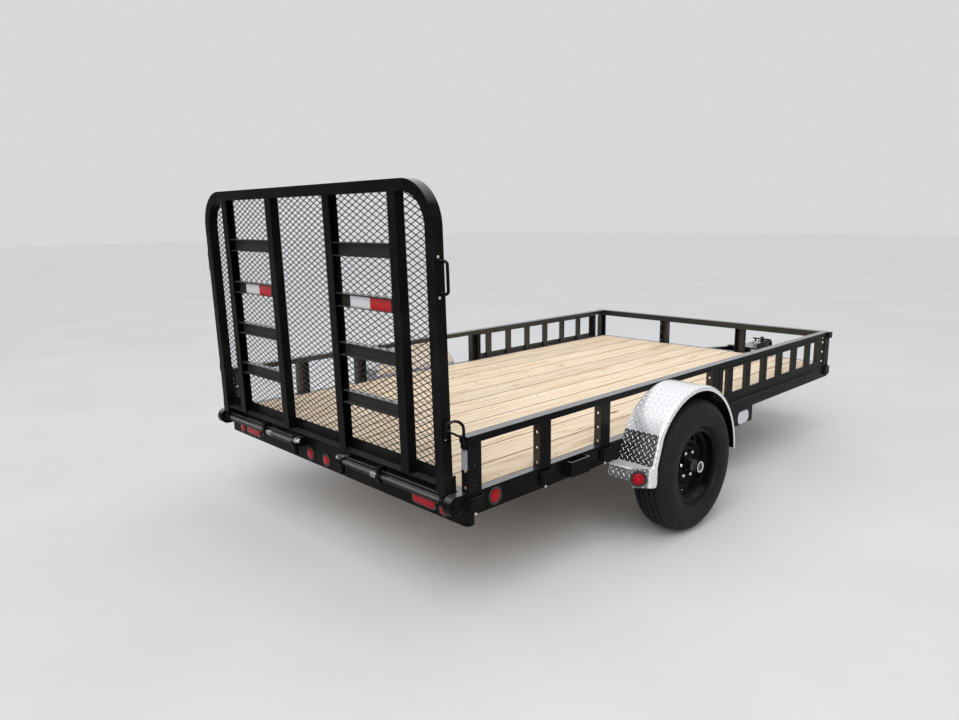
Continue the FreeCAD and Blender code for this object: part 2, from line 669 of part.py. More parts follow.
# hinge line: end barrels, assist tubes with their exposed coil, and the inner brackets
barrel = fuse([disc(BARREL_R, *BARREL_X, HINGE_Y, HINGE_Z),
               box(BARREL_X[0], BARREL_X[1], HINGE_Y, BUMPER_Y, HINGE_Z - BARREL_R, DECK_Z)])
barrel = barrel.cut(disc(BARREL_R - 8, BARREL_X[1] - BARREL_CUP, BARREL_X[1] + 1, HINGE_Y, HINGE_Z))
save("hinge_ears", both([fuse([barrel, disc(ASSIST_R, BARREL_X[0], BARREL_X[1], HINGE_Y, HINGE_Z)])]))
coil_pitch = (COIL_X[1] - COIL_X[0]) / COIL_TURNS
tube_outline = [(ASSIST_X, 0), (ASSIST_X, ASSIST_R), (COIL_X[0], ASSIST_R)]
for i in range(COIL_TURNS):
    x = COIL_X[0] + i * coil_pitch
    tube_outline += [(x, COIL_ROOT), (x + coil_pitch / 2, ASSIST_R)]
tube_outline += [(COIL_X[1], COIL_ROOT), (COIL_X[1], ASSIST_R), (BARREL_X[0], ASSIST_R), (BARREL_X[0], 0)]
save("assist_tubes", both([lathe(tube_outline, 0, HINGE_Y, HINGE_Z)]))
bracket_x = ASSIST_X - BRACKET_W
eye = [(BUMPER_Y, HINGE_Z - BRACKET_R), (BUMPER_Y, HINGE_Z + BRACKET_R),
       (HINGE_Y - BRACKET_R, HINGE_Z + BRACKET_R, 20), (HINGE_Y - BRACKET_R, HINGE_Z - BRACKET_R, 20)]
drop = box(bracket_x, ASSIST_X, HINGE_Y - 14, HINGE_Y + 10, HINGE_Z - 60, HINGE_Z - BRACKET_R + 1)
save("assist_brackets", both([fuse([prism("x", eye, bracket_x, ASSIST_X), drop])]))

# gate latch: an arched rod in a tab on the rear post, its free leg beside the gate's tube
arch_z = LATCH_Z - LATCH_R
latch_foot = (LATCH_X, LATCH_Y, LATCH_LOW_Z)
latch_bend = math.hypot(LATCH_X - LATCH_FREE_X, LATCH_Y - LATCH_FREE_Y) / 2 - 0.01
latch = bent_rod([latch_foot, (LATCH_X, LATCH_Y, arch_z), (LATCH_FREE_X, LATCH_FREE_Y, arch_z),
                  (LATCH_FREE_X, LATCH_FREE_Y, LATCH_FREE_Z)], latch_bend, LATCH_R)
brace = rod((LATCH_X, LATCH_Y, LATCH_FREE_Z - 4), (LATCH_FREE_X, LATCH_FREE_Y, LATCH_FREE_Z + 38),
            LATCH_R - 1.5)
tab = box(LATCH_X - 11, LATCH_X + 11, LATCH_Y - 9, 0, LATCH_LOW_Z + 8, LATCH_LOW_Z + 30)
save("latch_rods", both([fuse([latch, brace, tab])]))

# gate
tube_half = GATE_TUBE / 2
lean = math.radians(GATE_LEAN)


def gate_place(shapes):
    placed = []
    for shape in shapes:
        moved = shape.copy()
        moved.rotate(V(0, 0, 0), V(1, 0, 0), GATE_LEAN)
        moved.translate(V(0, GATE_Y, GATE_Z))
        placed.append(moved)
    return placed


def gate_outline(inset, low):
    side = GATE_X - inset
    top = GATE_H - inset
    bend = GATE_BEND - inset
    return [(-side, low), (side, low), (side, top, bend), (-side, top, bend)]


hoop = prism("y", gate_outline(0, 0), -tube_half, tube_half)
hoop = hoop.cut(prism("y", gate_outline(GATE_TUBE, -1), -tube_half - 1, tube_half + 1))
save("gate_frame", gate_place([hoop]))

front_face = tube_half - 4
bottom_x = GATE_X - GATE_TUBE
stringers = []
for x, side in zip(STRINGER_X, (1, -1)):
    section = cee(x, -tube_half, side, STRINGER_W, front_face + tube_half, STRINGER_T)
    stringers.append(prism("z", section, STRINGER_FOOT, GATE_H - GATE_TUBE))
save("gate_stringers", gate_place(both(stringers)))

rungs = []
rung_front = front_face - STRINGER_T
rung_depth = rung_front + tube_half - RUNG_IN
rise = (GATE_H - RUNG_LAST_DOWN - RUNG_FIRST) / (RUNG_COUNT - 1)
for i in range(RUNG_COUNT):
    z = RUNG_FIRST + i * rise
    section = cee(rung_front, z - RUNG_H / 2, -1, rung_depth, RUNG_H, STRINGER_T)
    rungs.append(prism("x", section, STRINGER_X[0] + STRINGER_W, STRINGER_X[1] - STRINGER_W))
save("gate_rungs", gate_place(both(rungs)))

foot_low = STRINGER_FOOT - STRINGER_T
bottom = fuse([box(-bottom_x, bottom_x, front_face, tube_half, 4, BOTTOM_H),
               box(-bottom_x, bottom_x, -tube_half + 2, front_face, foot_low, STRINGER_FOOT)])
save("gate_bottom_rail", gate_place([bottom]))

# lugs on the hinge line carry the gate; the thin torsion rod runs above them
pin_y = (HINGE_Y - GATE_Y) * math.cos(lean) + (HINGE_Z - GATE_Z) * math.sin(lean)
pin_z = (HINGE_Z - GATE_Z) * math.cos(lean) - (HINGE_Y - GATE_Y) * math.sin(lean)
torsion_z = pin_z + TORSION_UP
lugs = []
for x, top in zip(LUG_X, (4.0, 0.0)):
    lugs.append(box(x, x + LUG_T, -tube_half, tube_half, -LUG_DROP, top))
    lugs.append(disc(LUG_R, x, x + LUG_T, pin_y, pin_z))
lugs.append(rod((ASSIST_X + 6, pin_y, torsion_z), (LUG_X[-1] + 1, pin_y, torsion_z), TORSION_R))
side_plate = box(GATE_X, GATE_X + SIDE_PLATE_T, -tube_half, tube_half + SIDE_PLATE_AHEAD, *SIDE_PLATE_Z)
link = box(LUG_X[-1], GATE_X + SIDE_PLATE_T, -tube_half, tube_half, SIDE_PLATE_Z[0], 0.0)
lug_set = fuse(lugs + [side_plate, link])
lug_bore = disc(ASSIST_R + ASSIST_GAP, ASSIST_X, GATE_X, pin_y, pin_z)
save("gate_lugs", gate_place(both([lug_set.cut(lug_bore)])))

handle = bent_rod([(GATE_X, 0, HANDLE_Z[0]), (GATE_X + HANDLE_OUT, 0, HANDLE_Z[0]),
                   (GATE_X + HANDLE_OUT, 0, HANDLE_Z[1]), (GATE_X, 0, HANDLE_Z[1])], 14, HANDLE_R)
save("gate_handles", gate_place(both([handle])))

# expanded mesh on the gate's front face: one sheet with a lattice of diamond windows
sheet_face = Part.Face(outline("y", tube_half, gate_outline(tube_half, STRINGER_FOOT + 10)))
open_face = Part.Face(outline("y", tube_half, gate_outline(GATE_TUBE, BOTTOM_H)))
long_half = MESH_LONG / 2
short_half = MESH_SHORT / 2
shrink = MESH_STRAND / 2 * math.hypot(long_half, short_half) / (long_half * short_half)
dia_long = long_half * (1 - shrink)
dia_short = short_half * (1 - shrink)
columns = math.ceil(GATE_X / long_half)
rows = math.ceil(GATE_H / short_half)
diamonds = []
for row in range(1, rows):
    for column in range(-columns, columns + 1):
        if (row + column) % 2:
            continue
        x, z = column * long_half, BOTTOM_H + row * short_half
        diamond = [(x - dia_long, z), (x, z + dia_short), (x + dia_long, z), (x, z - dia_short)]
        diamonds.append(Part.Face(outline("y", tube_half, diamond)))
windows = open_face.common(Part.makeCompound(diamonds))
save("gate_mesh", gate_place([sheet_face.cut(windows).extrude(V(0, MESH_T, 0))]))

# side ramps: an angle frame with angle rungs
ramp_low = DECK_Z + SEAT_GAP
ramp_top = ramp_low + RAMP_H
ramp_in = HALF_W - RAMP_D
web = HALF_W - RAMP_T


def ramp_upright(y, way, wide, deep):
    """An angle with its outer flange from y along the ramp and the other flange inward."""
    turn_in = y + way * RAMP_T
    return prism("z", [(HALF_W, y), (HALF_W, y + way * wide), (web, y + way * wide), (web, turn_in),
                       (HALF_W - deep, turn_in), (HALF_W - deep, y)], ramp_low, ramp_top)


def ramp_rail(z, way, flange):
    """An angle along the ramp with its outer flange from z and the other flange inward."""
    turn_in = z + way * RAMP_T
    return prism("y", [(HALF_W, z), (HALF_W, z + way * flange), (web, z + way * flange), (web, turn_in),
                       (ramp_in, turn_in), (ramp_in, z)], *RAMP_Y)


ramp = [ramp_rail(ramp_low, 1, RAMP_LOW_FLANGE), ramp_rail(ramp_top, -1, RAMP_TOP_FLANGE),
        ramp_upright(RAMP_Y[0], 1, RAMP_END_W, RAMP_D), ramp_upright(RAMP_Y[1], -1, RAMP_END_W, RAMP_D)]
rung_pitch = (RAMP_Y[1] - RAMP_Y[0] - RAMP_RUNG_FIRST - RAMP_RUNG_LAST) / (RAMP_RUNG_COUNT - 1)
for i in range(RAMP_RUNG_COUNT):
    y = RAMP_Y[0] + RAMP_RUNG_FIRST + i * rung_pitch
    ramp.append(ramp_upright(y, 1, RAMP_RUNG_W, RAMP_RUNG_D))
ramp_shape = fuse(ramp)
save("ramp_right", [ramp_shape])
save("ramp_left", [mirror(ramp_shape)])

# wheels: the tyre sits on the rim's bead seats, the hub carries the rim's disc between drum and nuts
half = TYRE_W / 2
lip_r = RIM_R + RIM_LIP
bead = RIM_R + SEAT_GAP
seat_x = RIM_HALF - SEAT_GAP
belly = (lip_r + TYRE_R) / 2 - 20
shoulder = [(half - in_by, TYRE_R - down_by) for in_by, down_by in ((4, 57), (14, 35), (30, 16), (48, 6))]
tyre_half = [(seat_x, bead), (seat_x, lip_r + SEAT_GAP), (seat_x + 18, lip_r + 8), (half, belly)] + shoulder
tyre_outline = ([(-x, r) for x, r in tyre_half] + [(0, TYRE_R)] + tyre_half[::-1]
                + [(58, bead), (58, bead + 9), (-58, bead + 9), (-58, bead)])
disc_low, disc_high = HAND_HOLE_AT - HAND_HOLE_R - 10, HAND_HOLE_AT + HAND_HOLE_R + 14
face_x, face_in = 28.0, 28.0 - RIM_T
seat_disc, drum = 12.0, 12.0 - RIM_T
rim_in = RIM_R - RIM_T
rim_half = [(RIM_HALF + 7, lip_r), (RIM_HALF, lip_r), (RIM_HALF, RIM_R), (38, RIM_R), (22, 177)]
rim_inside = [(RIM_HALF + 1, rim_in), (40, rim_in), (face_x, disc_high), (face_x, disc_low),
              (seat_disc, 96), (seat_disc, 45), (drum, 45), (drum, 96 + RIM_T / 2),
              (face_in, disc_low), (face_in, 171), (-20, 171), (-40, rim_in), (-RIM_HALF - 1, rim_in)]
rim_outline = [(-x, r) for x, r in rim_half] + rim_half[::-1] + rim_inside
rim = lathe(rim_outline, WHEEL_X, AXLE_Y, axle_z)


def around(count, radius, turned, x0, x1, r):
    made = []
    for i in range(count):
        a = 2 * math.pi * (i + turned) / count
        y, z = AXLE_Y + radius * math.cos(a), axle_z + radius * math.sin(a)
        made.append(disc(r, WHEEL_X + x0, WHEEL_X + x1, y, z))
    return Part.makeCompound(made)


rim = rim.cut(around(HAND_HOLE_COUNT, HAND_HOLE_AT, 0.5, 0, face_x + 10, HAND_HOLE_R))
rim = rim.cut(around(NUT_COUNT, BOLT_CIRCLE_R, NUT_TURN, 0, face_x, NUT_R + SEAT_GAP))
spindle_bore = SPINDLE_R + SEAT_GAP
cap_x = SPINDLE_END + 8
cap_lip = CAP_OUT - 6
drum_outline = [(-86, spindle_bore), (-86, 60), (-74, 128), (-30, 128), (-30, 94), (drum, 94), (drum, 44),
                (36, 42)]
cap_outline = [(36, CAP_COLLAR_R), (CAP_COLLAR_OUT, CAP_COLLAR_R), (CAP_COLLAR_OUT, CAP_R),
               (cap_lip, CAP_R), (CAP_OUT, CAP_R - 4), (cap_lip, CAP_R - 10), (cap_lip, 0), (cap_x, 0),
               (cap_x, spindle_bore)]
hub = lathe(drum_outline + cap_outline, WHEEL_X, AXLE_Y, axle_z)
hub = fuse([hub] + around(NUT_COUNT, BOLT_CIRCLE_R, NUT_TURN, drum - 1, seat_disc + 18, NUT_R).Solids)
tyre = lathe(tyre_outline, WHEEL_X, AXLE_Y, axle_z)
for name, shape in (("tyre", tyre), ("rim", rim), ("hub", hub)):
    save(name + "_right", [shape])
    save(name + "_left", [mirror(shape)])
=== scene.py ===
import math
import bmesh
import bpy
from mathutils import Matrix, Vector


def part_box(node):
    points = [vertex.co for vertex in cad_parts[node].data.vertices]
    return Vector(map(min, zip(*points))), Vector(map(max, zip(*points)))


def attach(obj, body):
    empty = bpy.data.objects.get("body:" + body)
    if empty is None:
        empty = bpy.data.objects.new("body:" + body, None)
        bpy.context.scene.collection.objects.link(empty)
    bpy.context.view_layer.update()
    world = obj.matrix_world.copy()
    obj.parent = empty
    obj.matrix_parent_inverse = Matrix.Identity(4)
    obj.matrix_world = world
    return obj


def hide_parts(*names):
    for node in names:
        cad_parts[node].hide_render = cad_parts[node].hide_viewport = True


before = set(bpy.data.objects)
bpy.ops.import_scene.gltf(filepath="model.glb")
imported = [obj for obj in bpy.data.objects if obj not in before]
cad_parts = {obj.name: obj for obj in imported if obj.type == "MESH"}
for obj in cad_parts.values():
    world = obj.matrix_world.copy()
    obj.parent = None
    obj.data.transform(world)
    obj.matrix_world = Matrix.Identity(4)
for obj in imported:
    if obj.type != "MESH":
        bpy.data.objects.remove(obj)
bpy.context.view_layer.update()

# places read from the frame
tyreLow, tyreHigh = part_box("tyre_right")
axleCentre = Vector((0.0, (tyreLow.y + tyreHigh.y) / 2, (tyreLow.z + tyreHigh.z) / 2))
wheelX = (tyreLow.x + tyreHigh.x) / 2
tyreRadius = (tyreHigh.z - tyreLow.z) / 2
deckLow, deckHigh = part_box("deck_boards")
railLow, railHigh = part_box("side_rails")
bumperLow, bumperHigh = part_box("rear_bumper")
gateLow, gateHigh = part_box("gate_frame")
fenderLow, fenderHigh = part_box("fenders")
fenderRadius = fenderHigh.z - axleCentre.z
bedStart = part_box("side_posts")[0].y
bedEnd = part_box("front_channel")[1].y


# node helpers
def wire(tree, source, socket):
    if isinstance(source, bpy.types.NodeSocket):
        tree.links.new(source, socket)
    elif socket.type == "RGBA":
        socket.default_value = (*source, 1)
    else:
        socket.default_value = source


def put(tree, kind, sockets=None, **settings):
    node = tree.nodes.new("ShaderNode" + kind)
    for key, value in settings.items():
        setattr(node, key, value)
    for key, value in (sockets or {}).items():
        wire(tree, value, node.inputs[key])
    return node


def calc(tree, operation, *values):
    node = put(tree, "Math", operation=operation)
    for socket, value in zip(node.inputs, values):
        wire(tree, value, socket)
    return node.outputs[0]


def plus(tree, first, second):
    return calc(tree, "ADD", first, second)


def minus(tree, first, second):
    return calc(tree, "SUBTRACT", first, second)


def times(tree, first, second):
    return calc(tree, "MULTIPLY", first, second)


def larger(tree, first, second):
    return calc(tree, "MAXIMUM", first, second)


def isAbove(tree, value, limit):
    return calc(tree, "GREATER_THAN", value, limit)


def mapped(tree, value, start, end, low=0.0, high=1.0):
    ends = {"From Min": start, "From Max": end, "To Min": low, "To Max": high}
    return put(tree, "MapRange", {"Value": value, **ends}).outputs[0]


def spread(tree, value, low, high):
    return mapped(tree, value, 0.0, 1.0, low, high)


def coordinates(tree, kind="Object"):
    return put(tree, "TexCoord").outputs[kind]


def splitUp(tree, vector):
    return put(tree, "SeparateXYZ", {"Vector": vector}).outputs


def stretched(tree, vector, scale):
    return put(tree, "Mapping", {"Vector": vector, "Scale": scale}).outputs[0]


def noise(tree, vector, scale, detail=3.0, roughness=0.5):
    sockets = {"Vector": vector, "Scale": scale, "Detail": detail, "Roughness": roughness}
    return put(tree, "TexNoise", sockets).outputs["Fac"]


def ramp(tree, factor, stops):
    node = put(tree, "ValToRGB", {"Fac": factor})
    elements = node.color_ramp.elements
    for _ in stops[2:]:
        elements.new(0.5)
    for element, (place, colour) in zip(elements, stops):
        element.position = place
        element.color = (*colour, 1)
    return node.outputs["Color"]


def mixColour(tree, factor, first, second):
    node = put(tree, "Mix", {"Factor": factor}, data_type="RGBA")
    pair = [socket for socket in node.inputs if socket.type == "RGBA"]
    for socket, value in zip(pair, (first, second)):
        wire(tree, value, socket)
    return [socket for socket in node.outputs if socket.type == "RGBA"][0]


def surface(name, colour, roughness, metallic=0.0, **sockets):
    material = bpy.data.materials.new(name)
    material.use_nodes = True
    tree = material.node_tree
    shader = tree.nodes["Principled BSDF"]
    values = {"Base Color": colour, "Roughness": roughness, "Metallic": metallic}
    values.update({key.replace("_", " "): value for key, value in sockets.items()})
    for key, value in values.items():
        wire(tree, value, shader.inputs[key])
    return material, tree, shader


def bump(tree, shader, height, distance, strength=1.0):
    node = put(tree, "Bump", {"Height": height, "Distance": distance, "Strength": strength})
    wire(tree, node.outputs[0], shader.inputs["Normal"])


def cloudyColour(tree, shader, cloud, colour, share):
    low = tuple(part * share for part in colour)
    wire(tree, ramp(tree, cloud, [(0.3, low), (0.7, colour)]), shader.inputs["Base Color"])


def aroundAxle(tree, split):
    rise = minus(tree, split["Z"], axleCentre.z)
    run = minus(tree, split["Y"], axleCentre.y)
    turn = calc(tree, "ARCTAN2", rise, run)
    reach = calc(tree, "SQRT", plus(tree, times(tree, rise, rise), times(tree, run, run)))
    return rise, run, turn, reach


# black paint: dark from the side; its tops get a painted sky reflection (a paler base colour) besides more
# specular and coat, and its deck-facing sides get more specular to mirror the planks
def glossPaint(name, colour, dusty=0.35, litFrom=0.45, litTo=0.95):
    looks = {"dust": (0.03, 0.027, 0.023), "paintedLight": (0.045, 0.045, 0.047), "patches": 3.1, "peel": 420.0,
             "dustFrom": 0.5, "dustTo": 0.8, "paintedLightShare": (0.55, 0.9), "specular": (0.04, 1.0),
             "coat": (0.008, 1.0), "rough": (0.2, 0.42), "faces": 0.7, "mirror": 0.7,
             "peelHeight": 0.0002, "peelShare": 0.35}
    material, tree, shader = surface(name, colour, 0.3, Coat_Roughness=0.1)
    place = coordinates(tree)
    where = splitUp(tree, place)
    facing = splitUp(tree, coordinates(tree, "Normal"))
    patches = noise(tree, place, looks["patches"], 5.0, 0.6)
    upward = mapped(tree, facing["Z"], litFrom, litTo)
    inward = times(tree, calc(tree, "SIGN", where["X"]), times(tree, facing["X"], -1.0))
    backward = times(tree, facing["Y"], -1.0)
    onBed = times(tree, isAbove(tree, where["Z"], deckHigh.z), isAbove(tree, where["Y"], bumperHigh.y))
    towardsDeck = times(tree, onBed, isAbove(tree, larger(tree, inward, backward), looks["faces"]))
    shine = larger(tree, spread(tree, upward, *looks["specular"]), times(tree, towardsDeck, looks["mirror"]))
    dust = mapped(tree, patches, looks["dustFrom"], looks["dustTo"], 0.0, dusty)
    tone = mixColour(tree, dust, colour, looks["dust"])
    # painted sky reflection: faces turned up are mixed towards the paler grey, more in some patches
    paintedLightShare = times(tree, upward, spread(tree, patches, *looks["paintedLightShare"]))
    wire(tree, mixColour(tree, paintedLightShare, tone, looks["paintedLight"]), shader.inputs["Base Color"])
    wire(tree, shine, shader.inputs["Specular IOR Level"])
    wire(tree, spread(tree, upward, *looks["coat"]), shader.inputs["Coat Weight"])
    wire(tree, spread(tree, patches, *looks["rough"]), shader.inputs["Roughness"])
    bump(tree, shader, noise(tree, place, looks["peel"], 1.0), looks["peelHeight"], looks["peelShare"])
    return material


# planks: each board has its own stretch of grain, with knots and a dark seam beside it
def pinePlanks(name, pitch, firstEdge):
    looks = {"pale": (0.80, 0.67, 0.50), "warm": (0.72, 0.55, 0.37), "streak": (0.50, 0.32, 0.18),
             "knot": (0.26, 0.13, 0.06), "seam": (0.26, 0.17, 0.10), "boardShift": 7.0, "rings": 34.0,
             "ringDrift": 9.0, "ringEdge": 2.2, "driftScale": (9.0, 0.9, 9.0),
             "fineScale": (330.0, 5.0, 330.0), "knotScale": (4.2, 1.25, 0.5), "knotEdge": (0.075, 0.03),
             "seamEdge": (0.462, 0.488), "boardTone": (0.93, 1.04), "saturation": 0.96, "grainHeight": 0.0006}
    material, tree, shader = surface(name, looks["pale"], 0.62, Specular_IOR_Level=0.25)
    split = splitUp(tree, coordinates(tree))
    across = calc(tree, "DIVIDE", minus(tree, split["X"], firstEdge), pitch)
    board = calc(tree, "FLOOR", across)
    chance = put(tree, "TexWhiteNoise", {"W": board}, noise_dimensions="1D").outputs["Value"]
    offset = times(tree, chance, looks["boardShift"])
    side = plus(tree, split["X"], offset)
    along = plus(tree, split["Y"], offset)
    place = put(tree, "CombineXYZ", {"X": side, "Y": along, "Z": split["Z"]}).outputs[0]
    drift = noise(tree, stretched(tree, place, looks["driftScale"]), 1.0, 2.0)
    rings = plus(tree, times(tree, side, looks["rings"]), times(tree, drift, looks["ringDrift"]))
    band = calc(tree, "POWER", calc(tree, "PINGPONG", rings, 1.0), looks["ringEdge"])
    fine = noise(tree, stretched(tree, place, looks["fineScale"]), 1.0, 3.0, 0.6)
    grain = plus(tree, times(tree, band, 0.5), times(tree, fine, 0.5))
    wood = ramp(tree, grain, [(0.2, looks["pale"]), (0.55, looks["warm"]), (0.95, looks["streak"])])
    spots = {"Vector": stretched(tree, place, looks["knotScale"]), "Scale": 1.0, "Randomness": 1.0}
    knot = mapped(tree, put(tree, "TexVoronoi", spots).outputs["Distance"], *looks["knotEdge"])
    tint = mixColour(tree, knot, wood, looks["knot"])
    tone = {"Value": spread(tree, chance, *looks["boardTone"]), "Saturation": looks["saturation"]}
    shade = put(tree, "HueSaturation", {"Color": tint, **tone}).outputs[0]
    toEdge = calc(tree, "ABSOLUTE", minus(tree, calc(tree, "FRACT", across), 0.5))
    seam = mapped(tree, toEdge, *looks["seamEdge"])
    wire(tree, mixColour(tree, seam, shade, looks["seam"]), shader.inputs["Base Color"])
    bump(tree, shader, grain, looks["grainHeight"], 0.5)
    return material


# treadplate: two sets of raised bars that lean opposite ways, each bar the middle of its own cell
def barLattice(tree, across, along, spec, lean, offset):
    cells = []
    for value, pitch in ((across, spec["across"]), (along, spec["along"])):
        shifted = plus(tree, calc(tree, "DIVIDE", value, pitch), offset)
        cells.append(times(tree, minus(tree, calc(tree, "FRACT", shifted), 0.5), pitch))
    slant = math.radians(spec["slant"])
    cosine, sine = math.cos(slant), math.sin(slant)
    lengthwise = plus(tree, times(tree, cells[0], cosine), times(tree, cells[1], lean * sine))
    crosswise = minus(tree, times(tree, cells[0], sine), times(tree, cells[1], lean * cosine))
    reach = calc(tree, "DIVIDE", calc(tree, "ABSOLUTE", lengthwise), spec["length"] / 2)
    width = calc(tree, "DIVIDE", calc(tree, "ABSOLUTE", crosswise), spec["width"] / 2)
    return minus(tree, 1.0, plus(tree, calc(tree, "POWER", reach, 2.0), width))


def treadSheet(name, lipX):
    bars = {"across": 0.032, "along": 0.036, "slant": 48.0, "length": 0.025, "width": 0.0066, "soft": 0.45,
            "height": 0.0014}
    looks = {"low": (0.20, 0.205, 0.22), "high": (0.92, 0.92, 0.93), "raised": (0.95, 0.95, 0.95),
             "wellShade": (0.03, 0.03, 0.032), "litFrom": 0.3, "litTo": 0.75, "under": -0.1, "faces": 0.7,
             "tyreGap": 0.05, "metallic": (1.0, 0.6), "scuffs": 30.0, "rough": (0.16, 0.34), "polish": 0.06}
    material, tree, shader = surface(name, looks["high"], 0.3, 1.0)
    split = splitUp(tree, coordinates(tree))
    facing = splitUp(tree, coordinates(tree, "Normal"))
    rise, run, turn, reach = aroundAxle(tree, split)
    arc = times(tree, turn, fenderRadius)
    side = calc(tree, "ABSOLUTE", split["X"])
    across = minus(tree, side, reach)
    leaning = barLattice(tree, across, arc, bars, 1.0, 0.0)
    opposite = barLattice(tree, across, arc, bars, -1.0, 0.5)
    height = mapped(tree, larger(tree, leaning, opposite), 0.0, bars["soft"])
    # painted light and shade: faces turned up and the outer lip take the pale colour, the other faces the
    # dark one
    upward = mapped(tree, facing["Z"], looks["litFrom"], looks["litTo"])
    paintedLight = larger(tree, upward, isAbove(tree, side, lipX))
    sheet = mixColour(tree, height, mixColour(tree, paintedLight, looks["low"], looks["high"]), looks["raised"])
    # painted shade: faces under the fender arch and outward faces beside the tyre are painted near black
    fromAxle = plus(tree, times(tree, facing["Y"], run), times(tree, facing["Z"], rise))
    under = calc(tree, "LESS_THAN", fromAxle, looks["under"])
    outward = isAbove(tree, times(tree, calc(tree, "SIGN", split["X"]), facing["X"]), looks["faces"])
    besideTyre = times(tree, outward, calc(tree, "LESS_THAN", side, wheelX - looks["tyreGap"]))
    paintedShadeInWell = larger(tree, under, besideTyre)
    wire(tree, mixColour(tree, paintedShadeInWell, sheet, looks["wellShade"]), shader.inputs["Base Color"])
    wire(tree, spread(tree, upward, *looks["metallic"]), shader.inputs["Metallic"])
    scuff = noise(tree, coordinates(tree), looks["scuffs"], 4.0, 0.6)
    rough = minus(tree, spread(tree, scuff, *looks["rough"]), times(tree, height, looks["polish"]))
    wire(tree, rough, shader.inputs["Roughness"])
    bump(tree, shader, height, bars["height"])
    return material


def plainMetal(name, colour, roughness, grainScale=60.0):
    looks = {"dark": 0.8, "rough": (0.75, 1.3), "height": 0.0003}
    material, tree, shader = surface(name, colour, roughness, 1.0)
    cloud = noise(tree, coordinates(tree), grainScale, 4.0, 0.6)
    cloudyColour(tree, shader, cloud, colour, looks["dark"])
    rough = spread(tree, cloud, *(roughness * share for share in looks["rough"]))
    wire(tree, rough, shader.inputs["Roughness"])
    bump(tree, shader, cloud, looks["height"], 0.4)
    return material


def tyreRubber(name):
    looks = {"dark": (0.006, 0.006, 0.007), "dusty": (0.015, 0.014, 0.015), "sipes": 84, "sipeEdge": 0.35,
             "treadHalf": 0.062, "shoulder": 0.93, "grain": 260.0, "grainShare": 0.08, "dust": 5.0,
             "height": 0.0025}
    material, tree, shader = surface(name, (0.010, 0.010, 0.011), 0.6, Specular_IOR_Level=0.14)
    split = splitUp(tree, coordinates(tree))
    turn, reach = aroundAxle(tree, split)[2:]
    side = calc(tree, "ABSOLUTE", minus(tree, calc(tree, "ABSOLUTE", split["X"]), wheelX))
    steps = calc(tree, "PINGPONG", times(tree, turn, looks["sipes"] / math.pi), 1.0)
    sipes = calc(tree, "POWER", steps, looks["sipeEdge"])
    beyondTread = isAbove(tree, side, looks["treadHalf"])
    shoulder = times(tree, beyondTread, isAbove(tree, reach, tyreRadius * looks["shoulder"]))
    blocks = times(tree, minus(tree, sipes, 1.0), shoulder)
    grain = noise(tree, coordinates(tree), looks["grain"], 2.0)
    dust = noise(tree, coordinates(tree), looks["dust"], 4.0, 0.65)
    wire(tree, ramp(tree, dust, [(0.3, looks["dark"]), (0.75, looks["dusty"])]), shader.inputs["Base Color"])
    bump(tree, shader, plus(tree, blocks, times(tree, grain, looks["grainShare"])), looks["height"])
    return material


def lampLens(name, colour, ribs):
    looks = {"deep": 0.55, "height": 0.0008}
    coat = {"Specular_IOR_Level": 0.14, "Coat_Weight": 0.08, "Coat_Roughness": 0.04}
    material, tree, shader = surface(name, colour, 0.22, **coat)
    cell = put(tree, "TexVoronoi", {"Vector": coordinates(tree), "Scale": ribs}).outputs["Distance"]
    deep = tuple(part * looks["deep"] for part in colour)
    wire(tree, ramp(tree, cell, [(0.0, deep), (0.5, colour)]), shader.inputs["Base Color"])
    bump(tree, shader, cell, looks["height"], 0.5)
    return material


def reflectiveSheet(name, colour):
    looks = {"cells": 260.0, "edge": 0.82, "height": 0.0001}
    coat = {"Specular_IOR_Level": 0.25, "Coat_Weight": 0.15, "Coat_Roughness": 0.08}
    material, tree, shader = surface(name, colour, 0.32, **coat)
    cells = {"Vector": coordinates(tree), "Scale": looks["cells"]}
    edge = put(tree, "TexVoronoi", cells, feature="DISTANCE_TO_EDGE").outputs["Distance"]
    soft = tuple(part * looks["edge"] for part in colour)
    wire(tree, ramp(tree, edge, [(0.05, soft), (0.2, colour)]), shader.inputs["Base Color"])
    bump(tree, shader, edge, looks["height"], 0.4)
    return material


def plainPlastic(name, colour, roughness):
    looks = {"scale": 90.0, "dark": 0.88, "height": 0.0002}
    material, tree, shader = surface(name, colour, roughness)
    cloud = noise(tree, coordinates(tree), looks["scale"])
    cloudyColour(tree, shader, cloud, colour, looks["dark"])
    bump(tree, shader, cloud, looks["height"], 0.3)
    return material


boards = {"count": 11, "gap": 0.004}
boardPitch = (deckHigh.x - deckLow.x + boards["gap"]) / boards["count"]
fenderEdge = 0.014
blackPaint = glossPaint("glossBlackPaint", (0.004, 0.004, 0.0042))
meshPaint = glossPaint("meshBlackPaint", (0.006, 0.006, 0.0062), 0.2)
rungPaint = glossPaint("rungBlackPaint", (0.038, 0.036, 0.033))
# assist tubes: the painted sky reflection starts on level faces, so most of each tube's upper half is paler
tubePaint = glossPaint("tubeBlackPaint", (0.010, 0.010, 0.0105), 0.2, 0.0, 0.6)
rimPaint = glossPaint("rimBlackPaint", (0.004, 0.004, 0.0042), 0.15, 0.75, 1.0)
pine = pinePlanks("pineDeck", boardPitch, deckLow.x - boards["gap"] / 2)
fenderSheet = treadSheet("treadplateSheet", fenderHigh.x - fenderEdge)
